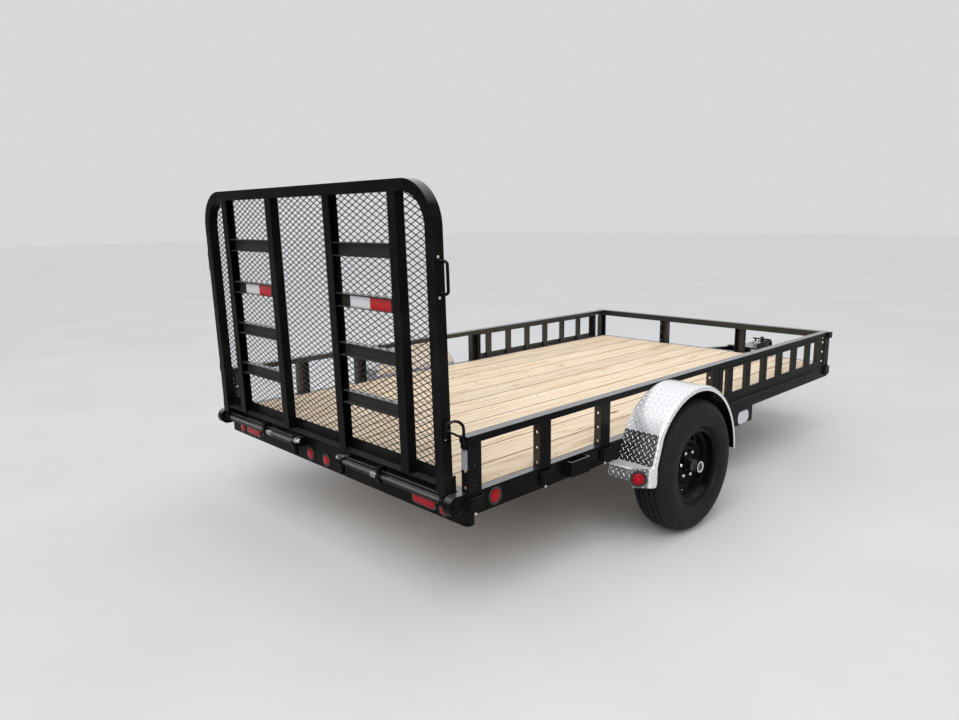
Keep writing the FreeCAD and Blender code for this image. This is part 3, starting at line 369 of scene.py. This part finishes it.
# back plates: with no lip every face takes the pale painted-light colour, and the face beside the tyre takes
# the painted well shade
backSheet = treadSheet("backTreadplate", 0.0)
rubber = tyreRubber("tyreBlack")
zinc = plainMetal("brightZinc", (0.72, 0.73, 0.72), 0.33)
coilZinc = plainMetal("dullZinc", (0.34, 0.34, 0.35), 0.42)
chrome = plainMetal("nutChrome", (0.82, 0.82, 0.83), 0.14, 25.0)
screwMetal = plainMetal("screwHeads", (0.28, 0.21, 0.14), 0.5, 300.0)
grommet = plainPlastic("softGrommet", (0.02, 0.02, 0.021), 0.65)
plug = plainPlastic("capPlug", (0.012, 0.012, 0.013), 0.4)
lensRed = lampLens("lensRed", (0.30, 0.001, 0.006), 190.0)
lensBright = lampLens("lensBright", (0.55, 0.003, 0.010), 400.0)
tapeWhite = reflectiveSheet("tapeWhite", (0.90, 0.90, 0.93))
tapeRed = reflectiveSheet("tapeRed", (0.62, 0.002, 0.008))
patchGrey = reflectiveSheet("patchGrey", (0.30, 0.30, 0.32))
badgePale = reflectiveSheet("badgePale", (0.62, 0.63, 0.68))
print("materials made")

# mesh helpers
mergeDistance = 0.00001


def addTo(bm, part, *moves):
    bmesh.ops.remove_doubles(part, verts=part.verts, dist=mergeDistance)
    for move in moves:
        part.transform(move)
    mesh = bpy.data.meshes.new("passing")
    part.to_mesh(mesh)
    part.free()
    bm.from_mesh(mesh)
    bpy.data.meshes.remove(mesh)


def finishPiece(name, bm, body, material, smoothAngle=35.0, hides=()):
    bmesh.ops.remove_doubles(bm, verts=bm.verts, dist=mergeDistance)
    bmesh.ops.recalc_face_normals(bm, faces=bm.faces)
    mesh = bpy.data.meshes.new(name)
    bm.to_mesh(mesh)
    bm.free()
    mesh.polygons.foreach_set("use_smooth", [True] * len(mesh.polygons))
    mesh.set_sharp_from_angle(angle=math.radians(smoothAngle))
    mesh.materials.append(material)
    piece = bpy.data.objects.new(name, mesh)
    bpy.context.scene.collection.objects.link(piece)
    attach(piece, body)
    if hides:
        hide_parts(*hides)


def whole(bm):
    return bm.verts[:] + bm.edges[:] + bm.faces[:]


def vertsOf(geometry):
    return [item for item in geometry if isinstance(item, bmesh.types.BMVert)]


def cutAway(bm, point, way):
    bmesh.ops.bisect_plane(bm, geom=whole(bm), plane_co=point, plane_no=way, clear_outer=True)


def turned(profile, steps=48):
    part = bmesh.new()
    verts = [part.verts.new((along, 0, radius)) for along, radius in profile]
    edges = [part.edges.new(pair) for pair in zip(verts, verts[1:] + verts[:1])]
    bmesh.ops.spin(part, geom=verts + edges, cent=(0, 0, 0), axis=(1, 0, 0), angle=math.tau, steps=steps,
                   use_merge=True)
    bmesh.ops.remove_doubles(part, verts=part.verts, dist=mergeDistance)
    bmesh.ops.dissolve_degenerate(part, edges=part.edges, dist=mergeDistance)
    return part


def plate(sizes, thinAxis, corner, segments=5):
    part = bmesh.new()
    bmesh.ops.create_cube(part, size=1.0)
    bmesh.ops.scale(part, verts=part.verts, vec=sizes)
    corners = [edge for edge in part.edges
               if abs((edge.verts[0].co - edge.verts[1].co)[thinAxis]) > sizes[thinAxis] / 2]
    bmesh.ops.bevel(part, geom=corners, offset=corner, segments=segments, affect="EDGES", profile=0.5,
                    material=-1)
    return part


def moved(x, y, z):
    return Matrix.Translation((x, y, z))


def turnedBy(angle, axis, size=4):
    return Matrix.Rotation(math.radians(angle), size, axis)


# a turned profile stands along X on what carries it; these point it another way
toRear = turnedBy(-90, "Z")
toTop = turnedBy(-90, "Y")
toInside = turnedBy(180, "Z")
sides = {"right": (1, turnedBy(0, "Z")), "left": (-1, turnedBy(180, "Z"))}

# gate mesh: expanded steel, its strands cut to the gate's rounded outline
gateSheet = {"long": 0.0572, "short": 0.0282, "strand": 0.0036, "thick": 0.003, "twist": 24.0, "overlap": 0.8,
             "lean": 1.48, "bend": 0.167, "facets": 6, "halfDepth": 0.025, "bottom": 0.040, "top": 1.243,
             "spare": 0.01}


def gateMatrix():
    lean = math.radians(gateSheet["lean"])
    halfDepth = gateSheet["halfDepth"]
    foot = moved(0, gateHigh.y - halfDepth * math.cos(lean), gateLow.z + halfDepth * math.sin(lean))
    return foot @ Matrix.Rotation(lean, 4, "X")


gatePlace = gateMatrix()


def strandUnit(bm):
    spec = gateSheet
    halfLong, halfShort = spec["long"] / 2, spec["short"] / 2
    slant = math.degrees(math.atan2(halfShort, halfLong))
    length = math.hypot(halfLong, halfShort) + spec["strand"] * spec["overlap"]
    for way, lift in ((1, 0), (-1, 0), (-1, 1), (1, 1)):
        strand = bmesh.ops.create_cube(bm, size=1.0)["verts"]
        bmesh.ops.scale(bm, verts=strand, vec=(length, spec["thick"], spec["strand"]))
        for angle, axis in ((spec["twist"], "X"), (-slant * way, "Y")):
            bmesh.ops.rotate(bm, verts=strand, cent=(0, 0, 0), matrix=turnedBy(angle, axis, 3))
        shift = 0.5 if way == (-1 if lift else 1) else 1.5
        bmesh.ops.translate(bm, verts=strand, vec=(halfLong * shift, 0, halfShort * (lift + 0.5)))


def repeat(bm, count, step):
    unit = whole(bm)
    for place in range(1, count):
        copy = bmesh.ops.duplicate(bm, geom=unit)["geom"]
        bmesh.ops.translate(bm, verts=vertsOf(copy), vec=step * place)


def expandedSheet():
    spec = gateSheet
    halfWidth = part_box("gate_mesh")[1].x
    bottom, top, bend = spec["bottom"], spec["top"], spec["bend"]
    columns = math.ceil(2 * halfWidth / spec["long"]) + 1
    rows = math.ceil((top - bottom) / spec["short"]) + 1
    bm = bmesh.new()
    strandUnit(bm)
    repeat(bm, columns, Vector((spec["long"], 0, 0)))
    repeat(bm, rows, Vector((0, 0, spec["short"])))
    start = (-columns * spec["long"] / 2, spec["halfDepth"] + spec["thick"] / 2, bottom - spec["spare"])
    bmesh.ops.translate(bm, verts=bm.verts, vec=start)
    cuts = [((halfWidth, 0, 0), (1, 0, 0)), ((-halfWidth, 0, 0), (-1, 0, 0)),
            ((0, 0, bottom), (0, 0, -1)), ((0, 0, top), (0, 0, 1))]
    for sign in (1, -1):
        centre = Vector((sign * (halfWidth - bend), 0, top - bend))
        for step in range(spec["facets"]):
            angle = math.radians(90 * (step + 0.5) / spec["facets"])
            way = Vector((sign * math.cos(angle), 0, math.sin(angle)))
            cuts.append((centre + way * bend, way))
    for point, way in cuts:
        cutAway(bm, point, way)
    bm.transform(gatePlace)
    return bm


finishPiece("gateExpandedSheet", expandedSheet(), "gate", meshPaint, 30, ["gate_mesh"])
print("gate sheet made")

# tyres with four grooves and ringed sidewalls; side and inside are rows of half width, radius
tyre = {"groove": 0.008, "depth": 0.007, "draft": 0.0012, "at": (0.046, 0.016), "crown": 0.0048,
        "crownAt": 0.06, "steps": 112,
        "side": [(0.0765, 0.1912), (0.0765, 0.2070), (0.0810, 0.2085), (0.0890, 0.2125), (0.0965, 0.2185),
                 (0.0985, 0.2185), (0.1000, 0.2235), (0.1075, 0.2400), (0.1112, 0.2620), (0.1110, 0.2790),
                 (0.1090, 0.2920), (0.1092, 0.2960), (0.1075, 0.3010), (0.1035, 0.3110), (0.0975, 0.3215),
                 (0.0910, 0.3305), (0.0885, 0.3325), (0.0820, 0.3405), (0.0720, 0.3462), (0.0620, 0.3500)],
        "inside": [(-0.058, 0.1912), (-0.058, 0.2), (0.058, 0.2), (0.058, 0.1912)]}


def tyreProfile():
    near = list(tyre["side"])
    for place in tyre["at"]:
        outer, inner = place + tyre["groove"] / 2, place - tyre["groove"] / 2
        top = tyreRadius - tyre["crown"] * (place / tyre["crownAt"]) ** 2
        floorAt = top - tyre["depth"]
        near += [(outer, top), (outer - tyre["draft"], floorAt)]
        near += [(inner + tyre["draft"], floorAt), (inner, top)]
    far = [(-half, radius) for half, radius in reversed(near)]
    return near + far + tyre["inside"]


for side, (sign, turn) in sides.items():
    bm = bmesh.new()
    addTo(bm, turned(tyreProfile(), tyre["steps"]), moved(sign * wheelX, axleCentre.y, axleCentre.z))
    finishPiece("tyreTread_" + side, bm, "wheel_" + side, rubber, 32, ["tyre_" + side])
print("tyres made")

# hubs: brake drum, nuts, cap with its ring and plug, valve stem; rows are place along the axle, radius
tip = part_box("hub_right")[1].x - wheelX
hub = {"nutCircle": 0.06985, "nuts": 6, "turn": -0.1, "nutSeat": 0.0115, "nutTurn": 17, "valveSeat": 0.026,
       "valveRadius": 0.150, "valveAngle": -132.0,
       "drum": [(-0.086, 0.0185), (-0.086, 0.056), (-0.083, 0.062), (-0.074, 0.124), (-0.070, 0.128),
                (-0.034, 0.128), (-0.030, 0.124), (-0.030, 0.094), (0.0055, 0.094), (0.0055, 0.046),
                (0.008, 0.0435), (0.033, 0.0415), (0.036, 0.039), (0.036, 0.0185)],
       "collar": [(0.034, 0.020), (0.034, 0.0296), (0.060, 0.0296), (0.062, 0.0285), (0.062, 0.020)],
       "cap": [(0.0615, 0.021), (0.0615, 0.0296), (0.0635, 0.0304), (tip - 0.009, 0.0304),
               (tip - 0.009, 0.021)],
       "ring": [(tip - 0.009, 0.0225), (tip - 0.009, 0.0312), (tip - 0.002, 0.0312), (tip, 0.0292),
                (tip, 0.0266), (tip - 0.003, 0.0225)],
       "plug": [(tip - 0.012, 0.0), (tip - 0.012, 0.0226), (tip - 0.0045, 0.0226), (tip - 0.003, 0.019),
                (tip - 0.0045, 0.009), (tip - 0.004, 0.0)],
       "nut": [(0.0, 0.0), (0.0, 0.0115), (0.003, 0.0128), (0.017, 0.0128), (0.022, 0.0108), (0.0255, 0.0065),
               (0.0265, 0.0)],
       "stem": [(0.0, 0.0), (0.0, 0.0075), (0.008, 0.006), (0.016, 0.0045), (0.020, 0.004), (0.020, 0.0)],
       "stemCap": [(0.019, 0.0), (0.019, 0.0046), (0.032, 0.0046), (0.034, 0.0038), (0.034, 0.0)]}
for side, (sign, turn) in sides.items():
    wheelPlace = moved(sign * wheelX, axleCentre.y, axleCentre.z) @ turn
    body = "wheel_" + side
    drum, cap, bright, dark, valve = (bmesh.new() for _ in range(5))
    addTo(drum, turned(hub["drum"], 56), wheelPlace)
    addTo(drum, turned(hub["collar"], 40), wheelPlace)
    addTo(cap, turned(hub["cap"], 40), wheelPlace)
    addTo(bright, turned(hub["ring"], 40), wheelPlace)
    for i in range(hub["nuts"]):
        angle = math.tau * (i + hub["turn"]) / hub["nuts"]
        seat = moved(hub["nutSeat"], hub["nutCircle"] * math.cos(angle), hub["nutCircle"] * math.sin(angle))
        addTo(bright, turned(hub["nut"], 6), wheelPlace @ seat @ turnedBy(30 + hub["nutTurn"] * i, "X"))
    addTo(dark, turned(hub["plug"], 32), wheelPlace)
    radius, angle = hub["valveRadius"], math.radians(hub["valveAngle"])
    seat = moved(hub["valveSeat"], radius * math.cos(angle) * sign, radius * math.sin(angle))
    valvePlace = wheelPlace @ seat
    addTo(dark, turned(hub["stem"], 12), valvePlace)
    addTo(valve, turned(hub["stemCap"], 12), valvePlace)
    finishPiece("hubDrum_" + side, drum, body, rimPaint, 35, ["hub_" + side])
    finishPiece("hubCap_" + side, cap, body, zinc)
    finishPiece("wheelNuts_" + side, bright, body, chrome)
    finishPiece("hubPlug_" + side, dark, body, plug)
    finishPiece("valveCap_" + side, valve, body, chrome)
print("hubs made")

# round lamps: rubber grommet, domed lens and its bright middle; rows are share of depth, share of radius
lampGrommet = [(0.0, 0.70), (0.0, 1.0), (0.4, 1.0), (0.62, 0.96), (0.68, 0.86), (0.5, 0.75), (0.3, 0.72)]
lampDome = [(0.0, 0.0), (0.0, 0.72), (0.5, 0.72), (0.8, 0.65), (0.94, 0.42), (1.0, 0.18), (1.0, 0.0)]
lampMiddle = {"from": 0.9, "wide": 0.18, "narrow": 0.15, "proud": 0.0004}
lamps = {"depth": 0.007, "rowPitch": 0.152, "rowRise": 0.045, "rowRadius": 0.036, "outerX": 0.910,
         "outerRise": 0.040, "outerRadius": 0.034, "fenderIn": 0.0531, "fenderAhead": 0.0271,
         "fenderDepth": 0.012, "fenderTurn": 37.0}
grommets, lenses, cells, rims = (bmesh.new() for _ in range(4))


def roundLamp(place, radius, depth):
    addTo(grommets, turned([(depth * share, radius * part) for share, part in lampGrommet], 40), place)
    addTo(lenses, turned([(depth * share, radius * part) for share, part in lampDome], 40), place)
    back, front = depth * lampMiddle["from"], depth + lampMiddle["proud"]
    wide, narrow = radius * lampMiddle["wide"], radius * lampMiddle["narrow"]
    middle = [(back, 0.0), (back, wide), (front, narrow), (front, 0.0)]
    addTo(cells, turned(middle, 16), place)


for step in (-1, 0, 1):
    rowPlace = moved(step * lamps["rowPitch"], bumperLow.y, bumperLow.z + lamps["rowRise"])
    roundLamp(rowPlace @ toRear, lamps["rowRadius"], lamps["depth"])
markerLow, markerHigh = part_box("side_markers")
fenderLampLow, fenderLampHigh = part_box("fender_lamps")
markerMiddle = (markerLow + markerHigh) / 2
fenderLampX = fenderHigh.x - lamps["fenderIn"]
fenderLampY = fenderLow.y + lamps["fenderAhead"]
fenderLampZ = (fenderLampLow.z + fenderLampHigh.z) / 2
for side, (sign, turn) in sides.items():
    outerPlace = moved(sign * lamps["outerX"], bumperLow.y, bumperLow.z + lamps["outerRise"])
    roundLamp(outerPlace @ toRear, lamps["outerRadius"], lamps["depth"])
    markerPlace = moved(sign * railHigh.x, markerMiddle.y, markerMiddle.z)
    roundLamp(markerPlace @ turn, (markerHigh.z - markerLow.z) / 2, lamps["depth"])
    panelPlace = moved(sign * fenderLampX, fenderLampY, fenderLampZ)
    panelTurn = turnedBy(-90 + sign * lamps["fenderTurn"], "Z")
    roundLamp(panelPlace @ panelTurn, (fenderLampHigh.z - fenderLampLow.z) / 2, lamps["fenderDepth"])


# oval tail lamps: profiles pulled out sideways; rows are depth, share of radius, and in a cell plain radius
def oval(profile, radius, halfLength, steps=40):
    part = turned([(depth, radius * share) for depth, share in profile], steps)
    for vert in part.verts:
        if abs(vert.co.y) > tail["middle"]:
            vert.co.y += math.copysign(halfLength, vert.co.y)
    return part


tail = {"half": 0.054, "middle": 0.0005, "cells": 6, "pitch": 0.0215, "rimTop": 0.45,
        "grommet": [(0.0, 0.76), (0.0, 1.0), (0.003, 1.0), (0.0045, 0.96), (0.005, 0.88), (0.0025, 0.78)],
        "lens": [(0.0, 0.0), (0.0, 0.8), (0.004, 0.8), (0.0058, 0.7), (0.0064, 0.45), (0.0066, 0.0)],
        "rim": [(0.0, 0.965), (0.0, 1.035), (0.004, 1.035), (0.0055, 0.99), (0.004, 0.965)],
        "cell": [(0.0055, 0.0), (0.0055, 0.0085), (0.0069, 0.0078), (0.0072, 0.004), (0.0073, 0.0)]}
tailLow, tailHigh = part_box("tail_lamps")
tailRadius = (tailHigh.z - tailLow.z) / 2
tailX = tailHigh.x - tailRadius - tail["half"]
for side, (sign, turn) in sides.items():
    place = moved(sign * tailX, bumperLow.y, (tailLow.z + tailHigh.z) / 2) @ toRear
    addTo(grommets, oval(tail["grommet"], tailRadius, tail["half"]), place)
    addTo(lenses, oval(tail["lens"], tailRadius, tail["half"]), place)
    lowerRim = oval(tail["rim"], tailRadius, tail["half"])
    cutAway(lowerRim, (0, 0, -tailRadius * tail["rimTop"]), (0, 0, 1))
    addTo(rims, lowerRim, place)
    for i in range(tail["cells"]):
        shift = (i - (tail["cells"] - 1) / 2) * tail["pitch"]
        addTo(cells, turned(tail["cell"], 14), place @ moved(0, shift, 0))
lampNodes = ["tail_lamps", "rear_round_lamps", "side_markers", "fender_lamps"]
finishPiece("lampGrommets", grommets, "frame", grommet)
finishPiece("lampLenses", lenses, "frame", lensRed, 50, lampNodes)
finishPiece("lampCells", cells, "frame", lensBright, 50)
finishPiece("lampRims", rims, "frame", zinc, 50)
print("lamps made")

# assist coils: a true spiral over the tubes' ridged stretch
coil = {"from": 0.462, "to": 0.518, "turns": 8, "radius": 0.0142, "wire": 0.0027, "perTurn": 18, "sides": 8}
assistLow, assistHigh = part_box("assist_tubes")
hinge = (assistLow + assistHigh) / 2
coils = bmesh.new()
for sign in (1, -1):
    part = bmesh.new()
    ring = bmesh.ops.create_circle(part, cap_ends=False, segments=coil["sides"], radius=coil["wire"])["verts"]
    bmesh.ops.rotate(part, verts=ring, cent=(0, 0, 0), matrix=turnedBy(90, "X", 3))
    bmesh.ops.translate(part, verts=ring, vec=(coil["from"] + coil["wire"], 0, coil["radius"]))
    steps = coil["turns"] * coil["perTurn"]
    travel = (coil["to"] - coil["from"] - 2 * coil["wire"]) / steps
    bmesh.ops.spin(part, geom=part.verts[:] + part.edges[:], cent=(0, 0, 0), axis=(1, 0, 0),
                   dvec=(travel, 0, 0), angle=math.tau * coil["turns"], steps=steps)
    addTo(coils, part, moved(0, hinge.y, hinge.z) @ Matrix.Diagonal((sign, 1, 1, 1)))
finishPiece("assistCoils", coils, "frame", coilZinc, 60)

# deck screws, two in each plank over each cross member, none quite in line
screws = {"rows": 9, "end": 0.250, "inset": 0.035, "radius": 0.0052, "depth": 0.0006, "sink": 0.0001,
          "edge": 0.92, "wander": 0.004, "byRow": 5.1, "byBoard": 3.7, "byInset": 90}
screwProfile = [(0.0, 0.0), (0.0, screws["radius"]), (screws["depth"], screws["radius"] * screws["edge"]),
                (screws["depth"], 0.0)]
rowPitch = (bedEnd - bedStart - 2 * screws["end"]) / (screws["rows"] - 1)
heads = bmesh.new()
for row in range(screws["rows"]):
    for board in range(boards["count"]):
        for inset in (screws["inset"], boardPitch - screws["inset"]):
            phase = row * screws["byRow"] + board * screws["byBoard"] + inset * screws["byInset"]
            wander = screws["wander"] * math.sin(phase)
            x = deckLow.x + board * boardPitch + inset + wander
            y = bedStart + screws["end"] + row * rowPitch + wander
            addTo(heads, turned(screwProfile, 10), moved(x, y, deckHigh.z - screws["sink"]) @ toTop)
finishPiece("deckScrews", heads, "frame", screwMetal)

# bolts: under the side posts, at the inner brackets, on the gate's feet and tubes; a head is radius, height
bolts = {"socketY": (0.038, 0.482, 0.936), "socketRise": 0.004, "bracketX": 0.206, "bracketBack": 0.002,
         "bracketRise": 0.018, "washer": 0.003, "footX": (0.294, 0.782), "footY": 0.021, "footZ": 0.010,
         "tubeY": -0.006, "tubeZ": (0.232, 0.806, 0.964), "socketHead": (0.0075, 0.007),
         "bracketHead": (0.017, 0.003, 20), "footHead": (0.009, 0.006), "tubeHead": (0.0065, 0.004)}
headShape = [(0.0, 0.0), (0.0, 1.0), (0.45, 1.0), (0.8, 0.75), (1.0, 0.3), (1.0, 0.0)]


def boltHead(radius, height, steps=14):
    return turned([(height * share, radius * part) for share, part in headShape], steps)


frameBolts, gateBolts = bmesh.new(), bmesh.new()
for side, (sign, turn) in sides.items():
    for y in bolts["socketY"]:
        socketPlace = moved(sign * railHigh.x, bedStart + y, railLow.z + bolts["socketRise"])
        addTo(frameBolts, boltHead(*bolts["socketHead"]), socketPlace @ turn)
    for x, fastener in ((bolts["bracketX"], boltHead(*bolts["bracketHead"])),
                        (bolts["bracketX"] - bolts["washer"], turned(hub["nut"], 6))):
        bracketPlace = moved(sign * x, hinge.y - bolts["bracketBack"], hinge.z + bolts["bracketRise"])
        addTo(frameBolts, fastener, bracketPlace @ turn @ toInside)
    for x in bolts["footX"]:
        footPlace = moved(sign * x, bolts["footY"], bolts["footZ"])
        addTo(gateBolts, boltHead(*bolts["footHead"]), gatePlace @ footPlace @ toRear)
    for z in bolts["tubeZ"]:
        tubePlace = moved(sign * gateHigh.x, bolts["tubeY"], z)
        addTo(gateBolts, boltHead(*bolts["tubeHead"]), gatePlace @ tubePlace @ turn)
finishPiece("frameBolts", frameBolts, "frame", zinc)
finishPiece("gateBolts", gateBolts, "gate", zinc)
print("small fasteners made")

# reflective tape across one gate rung on each side: low end, change of colour, high end
tape = {"y": 0.0126, "z": 0.746, "height": 0.051, "thin": 0.0006, "corner": 0.0015,
        "right": (0.356, 0.5065, 0.657), "left": (-0.640, -0.494, -0.369)}
white, red = bmesh.new(), bmesh.new()
for side in sides:
    first, change, last = tape[side]
    for low, high, target in ((first, change, white), (change, last, red)):
        piece = plate((high - low, tape["thin"], tape["height"]), 1, tape["corner"], 2)
        addTo(target, piece, gatePlace @ moved((low + high) / 2, tape["y"], tape["z"]))
finishPiece("tapeWhite", white, "gate", tapeWhite)
finishPiece("tapeRed", red, "gate", tapeRed)

# grey patches on the rear posts, blank plates on the tongue's tails
patch = {"in": (0.040, 0.004), "rise": (0.098, 0.187), "thin": 0.0006, "corner": 0.003}
badge = {"ahead": (0.072, 0.214), "rise": (0.003, 0.084), "thin": 0.0008, "proud": 0.0003, "corner": 0.034}
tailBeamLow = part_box("tongue_beams")[0]
patches, badges = bmesh.new(), bmesh.new()
for side, (sign, turn) in sides.items():
    low, high = (railHigh.x - inset for inset in patch["in"])
    bottom, top = (deckHigh.z + rise for rise in patch["rise"])
    patchPlace = moved(sign * (low + high) / 2, bedStart - patch["thin"] / 2, (bottom + top) / 2)
    addTo(patches, plate((high - low, patch["thin"], top - bottom), 1, patch["corner"]), patchPlace)
    near, far = (tailBeamLow.y + ahead for ahead in badge["ahead"])
    bottom, top = (tailBeamLow.z + rise for rise in badge["rise"])
    badgePlace = moved(sign * (railHigh.x + badge["proud"]), (near + far) / 2, (bottom + top) / 2)
    addTo(badges, plate((badge["thin"], far - near, top - bottom), 0, badge["corner"], 8), badgePlace)
finishPiece("postPatches", patches, "frame", patchGrey)
finishPiece("blankBadges", badges, "frame", badgePale)
print("tape and blank plates made")

# inner plate of each fender, between the deck and the tyre
fenderBack = {"sheet": 0.003, "thin": 0.002, "fold": 145.8, "foot": 0.404, "steps": 28}
carrierLow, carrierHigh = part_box("fender_carriers")
backRadius = fenderRadius - fenderBack["sheet"] / 2
foldAngle = math.radians(fenderBack["fold"])
frontAngle = math.asin((carrierLow.z - axleCentre.z) / backRadius)
backOutline = [(axleCentre.y - fenderBack["foot"], carrierLow.z)]
for step in range(fenderBack["steps"] + 1):
    angle = foldAngle + (frontAngle - foldAngle) * step / fenderBack["steps"]
    run, rise = backRadius * math.cos(angle), backRadius * math.sin(angle)
    backOutline.append((axleCentre.y + run, axleCentre.z + rise))
backs = bmesh.new()
for sign in (1, -1):
    part = bmesh.new()
    face = part.faces.new([part.verts.new((sign * carrierHigh.x, y, z)) for y, z in backOutline])
    raised = bmesh.ops.extrude_face_region(part, geom=[face])["geom"]
    bmesh.ops.translate(part, verts=vertsOf(raised), vec=(sign * fenderBack["thin"], 0, 0))
    addTo(backs, part)
finishPiece("fenderBacks", backs, "frame", backSheet)
print("fender backs made")

# finishes of the nodes that stay, and their softened edges
finishes = {
    blackPaint: ["side_rails", "rear_bumper", "front_channel", "crossmembers", "tongue_beams", "tongue_plate",
                 "coupler", "jack_crank", "jack_leg", "side_posts", "front_posts", "side_top_rails",
                 "front_top_rail", "ramp_strips", "stake_pockets", "fender_carriers", "axle_beam",
                 "leaf_springs", "spring_hangers", "hinge_ears", "assist_brackets", "latch_rods",
                 "gate_frame", "gate_stringers", "gate_bottom_rail", "gate_lugs", "gate_handles",
                 "ramp_right", "ramp_left"],
    rungPaint: ["gate_rungs"],
    tubePaint: ["assist_tubes"],
    rimPaint: ["rim_right", "rim_left"],
    zinc: ["jack_tube"],
    pine: ["deck_boards"],
    fenderSheet: ["fenders"]}
softEdges = {0.012: ["gate_frame"],
             0.004: ["side_top_rails", "front_top_rail"],
             0.003: ["deck_boards"],
             0.0015: ["side_rails", "rear_bumper", "tongue_beams", "front_channel"],
             0.0012: ["side_posts", "front_posts", "ramp_right", "ramp_left", "gate_stringers", "gate_rungs"]}
softEdge = {"segments": 2, "angle": 40}
for material, nodes in finishes.items():
    for node in nodes:
        piece = bpy.data.objects[node]
        if not piece.material_slots:
            piece.data.materials.append(material)
        for held in piece.material_slots:
            held.material = material
for width, nodes in softEdges.items():
    for node in nodes:
        edge = bpy.data.objects[node].modifiers.new("softEdge", "BEVEL")
        edge.width = width
        edge.segments = softEdge["segments"]
        edge.limit_method = "ANGLE"
        edge.angle_limit = math.radians(softEdge["angle"])
print("finishes set")

# floor
floorLooks = {"tone": (0.58, 0.58, 0.58), "low": (0.56, 0.56, 0.56), "high": (0.61, 0.61, 0.61),
              "rough": 0.75, "cloud": 0.7, "size": 60}
floorMaterial, floorTree, floorShader = surface("paleFloor", floorLooks["tone"], floorLooks["rough"])
floorCloud = noise(floorTree, coordinates(floorTree), floorLooks["cloud"], 4.0, 0.6)
floorTone = ramp(floorTree, floorCloud, [(0.3, floorLooks["low"]), (0.7, floorLooks["high"])])
wire(floorTree, floorTone, floorShader.inputs["Base Color"])
ground = bmesh.new()
bmesh.ops.create_grid(ground, x_segments=1, y_segments=1, size=floorLooks["size"])
floorMesh = bpy.data.meshes.new("floor")
ground.to_mesh(floorMesh)
ground.free()
floorMesh.materials.append(floorMaterial)
floor = bpy.data.objects.new("floor", floorMesh)
bpy.context.scene.collection.objects.link(floor)

# sky: a bright dome for light and mirrors, one plain tone for the camera
sky = {"camera": (0.84, 0.84, 0.84), "strength": 0.82,
       "dome": [(0.0, (0.24, 0.24, 0.24)), (0.06, (0.34, 0.34, 0.34)), (0.22, (0.92, 0.93, 0.95)),
                (1.0, (0.96, 0.97, 1.0))]}
world = bpy.data.worlds.new("studio")
bpy.context.scene.world = world
world.use_nodes = True
skyTree = world.node_tree
background = skyTree.nodes["Background"]
dome = ramp(skyTree, splitUp(skyTree, coordinates(skyTree, "Generated"))["Z"], sky["dome"])
seen = put(skyTree, "LightPath").outputs["Is Camera Ray"]
wire(skyTree, mixColour(skyTree, seen, dome, sky["camera"]), background.inputs["Color"])
wire(skyTree, sky["strength"], background.inputs["Strength"])


def light(name, kind, energy, place, target, **settings):
    data = bpy.data.lights.new(name, kind)
    data.energy = energy
    for key, value in settings.items():
        setattr(data, key, value)
    holder = bpy.data.objects.new(name, data)
    aim = (Vector(target) - Vector(place)).to_track_quat("-Z", "Y").to_matrix().to_4x4()
    holder.matrix_world = moved(*place) @ aim
    bpy.context.scene.collection.objects.link(holder)


light("overhead", "AREA", 150.0, (2.0, -3.5, 6.5), (0.0, -0.2, 0.5), shape="SQUARE", size=6.0)
light("softSun", "SUN", 1.45, (3.0, -5.0, 5.8), (0.0, 0.0, 0.5), angle=math.radians(50))

# camera at the photograph's view
view = {"place": (3.1368, -4.4203, 1.6612), "heading": 45.92, "down": 10.95, "roll": -0.70, "lens": 27.48,
        "sensor": 36.0, "reach": 300.0}
cameraData = bpy.data.cameras.new("photoView")
cameraData.sensor_width = view["sensor"]
cameraData.lens = view["lens"]
cameraData.clip_end = view["reach"]
camera = bpy.data.objects.new("photoView", cameraData)
aim = turnedBy(view["heading"], "Z") @ turnedBy(90 - view["down"], "X") @ turnedBy(view["roll"], "Z")
camera.matrix_world = moved(*view["place"]) @ aim
bpy.context.scene.collection.objects.link(camera)
bpy.context.scene.camera = camera
bpy.context.scene.view_settings.view_transform = "Standard"
print("stage set")
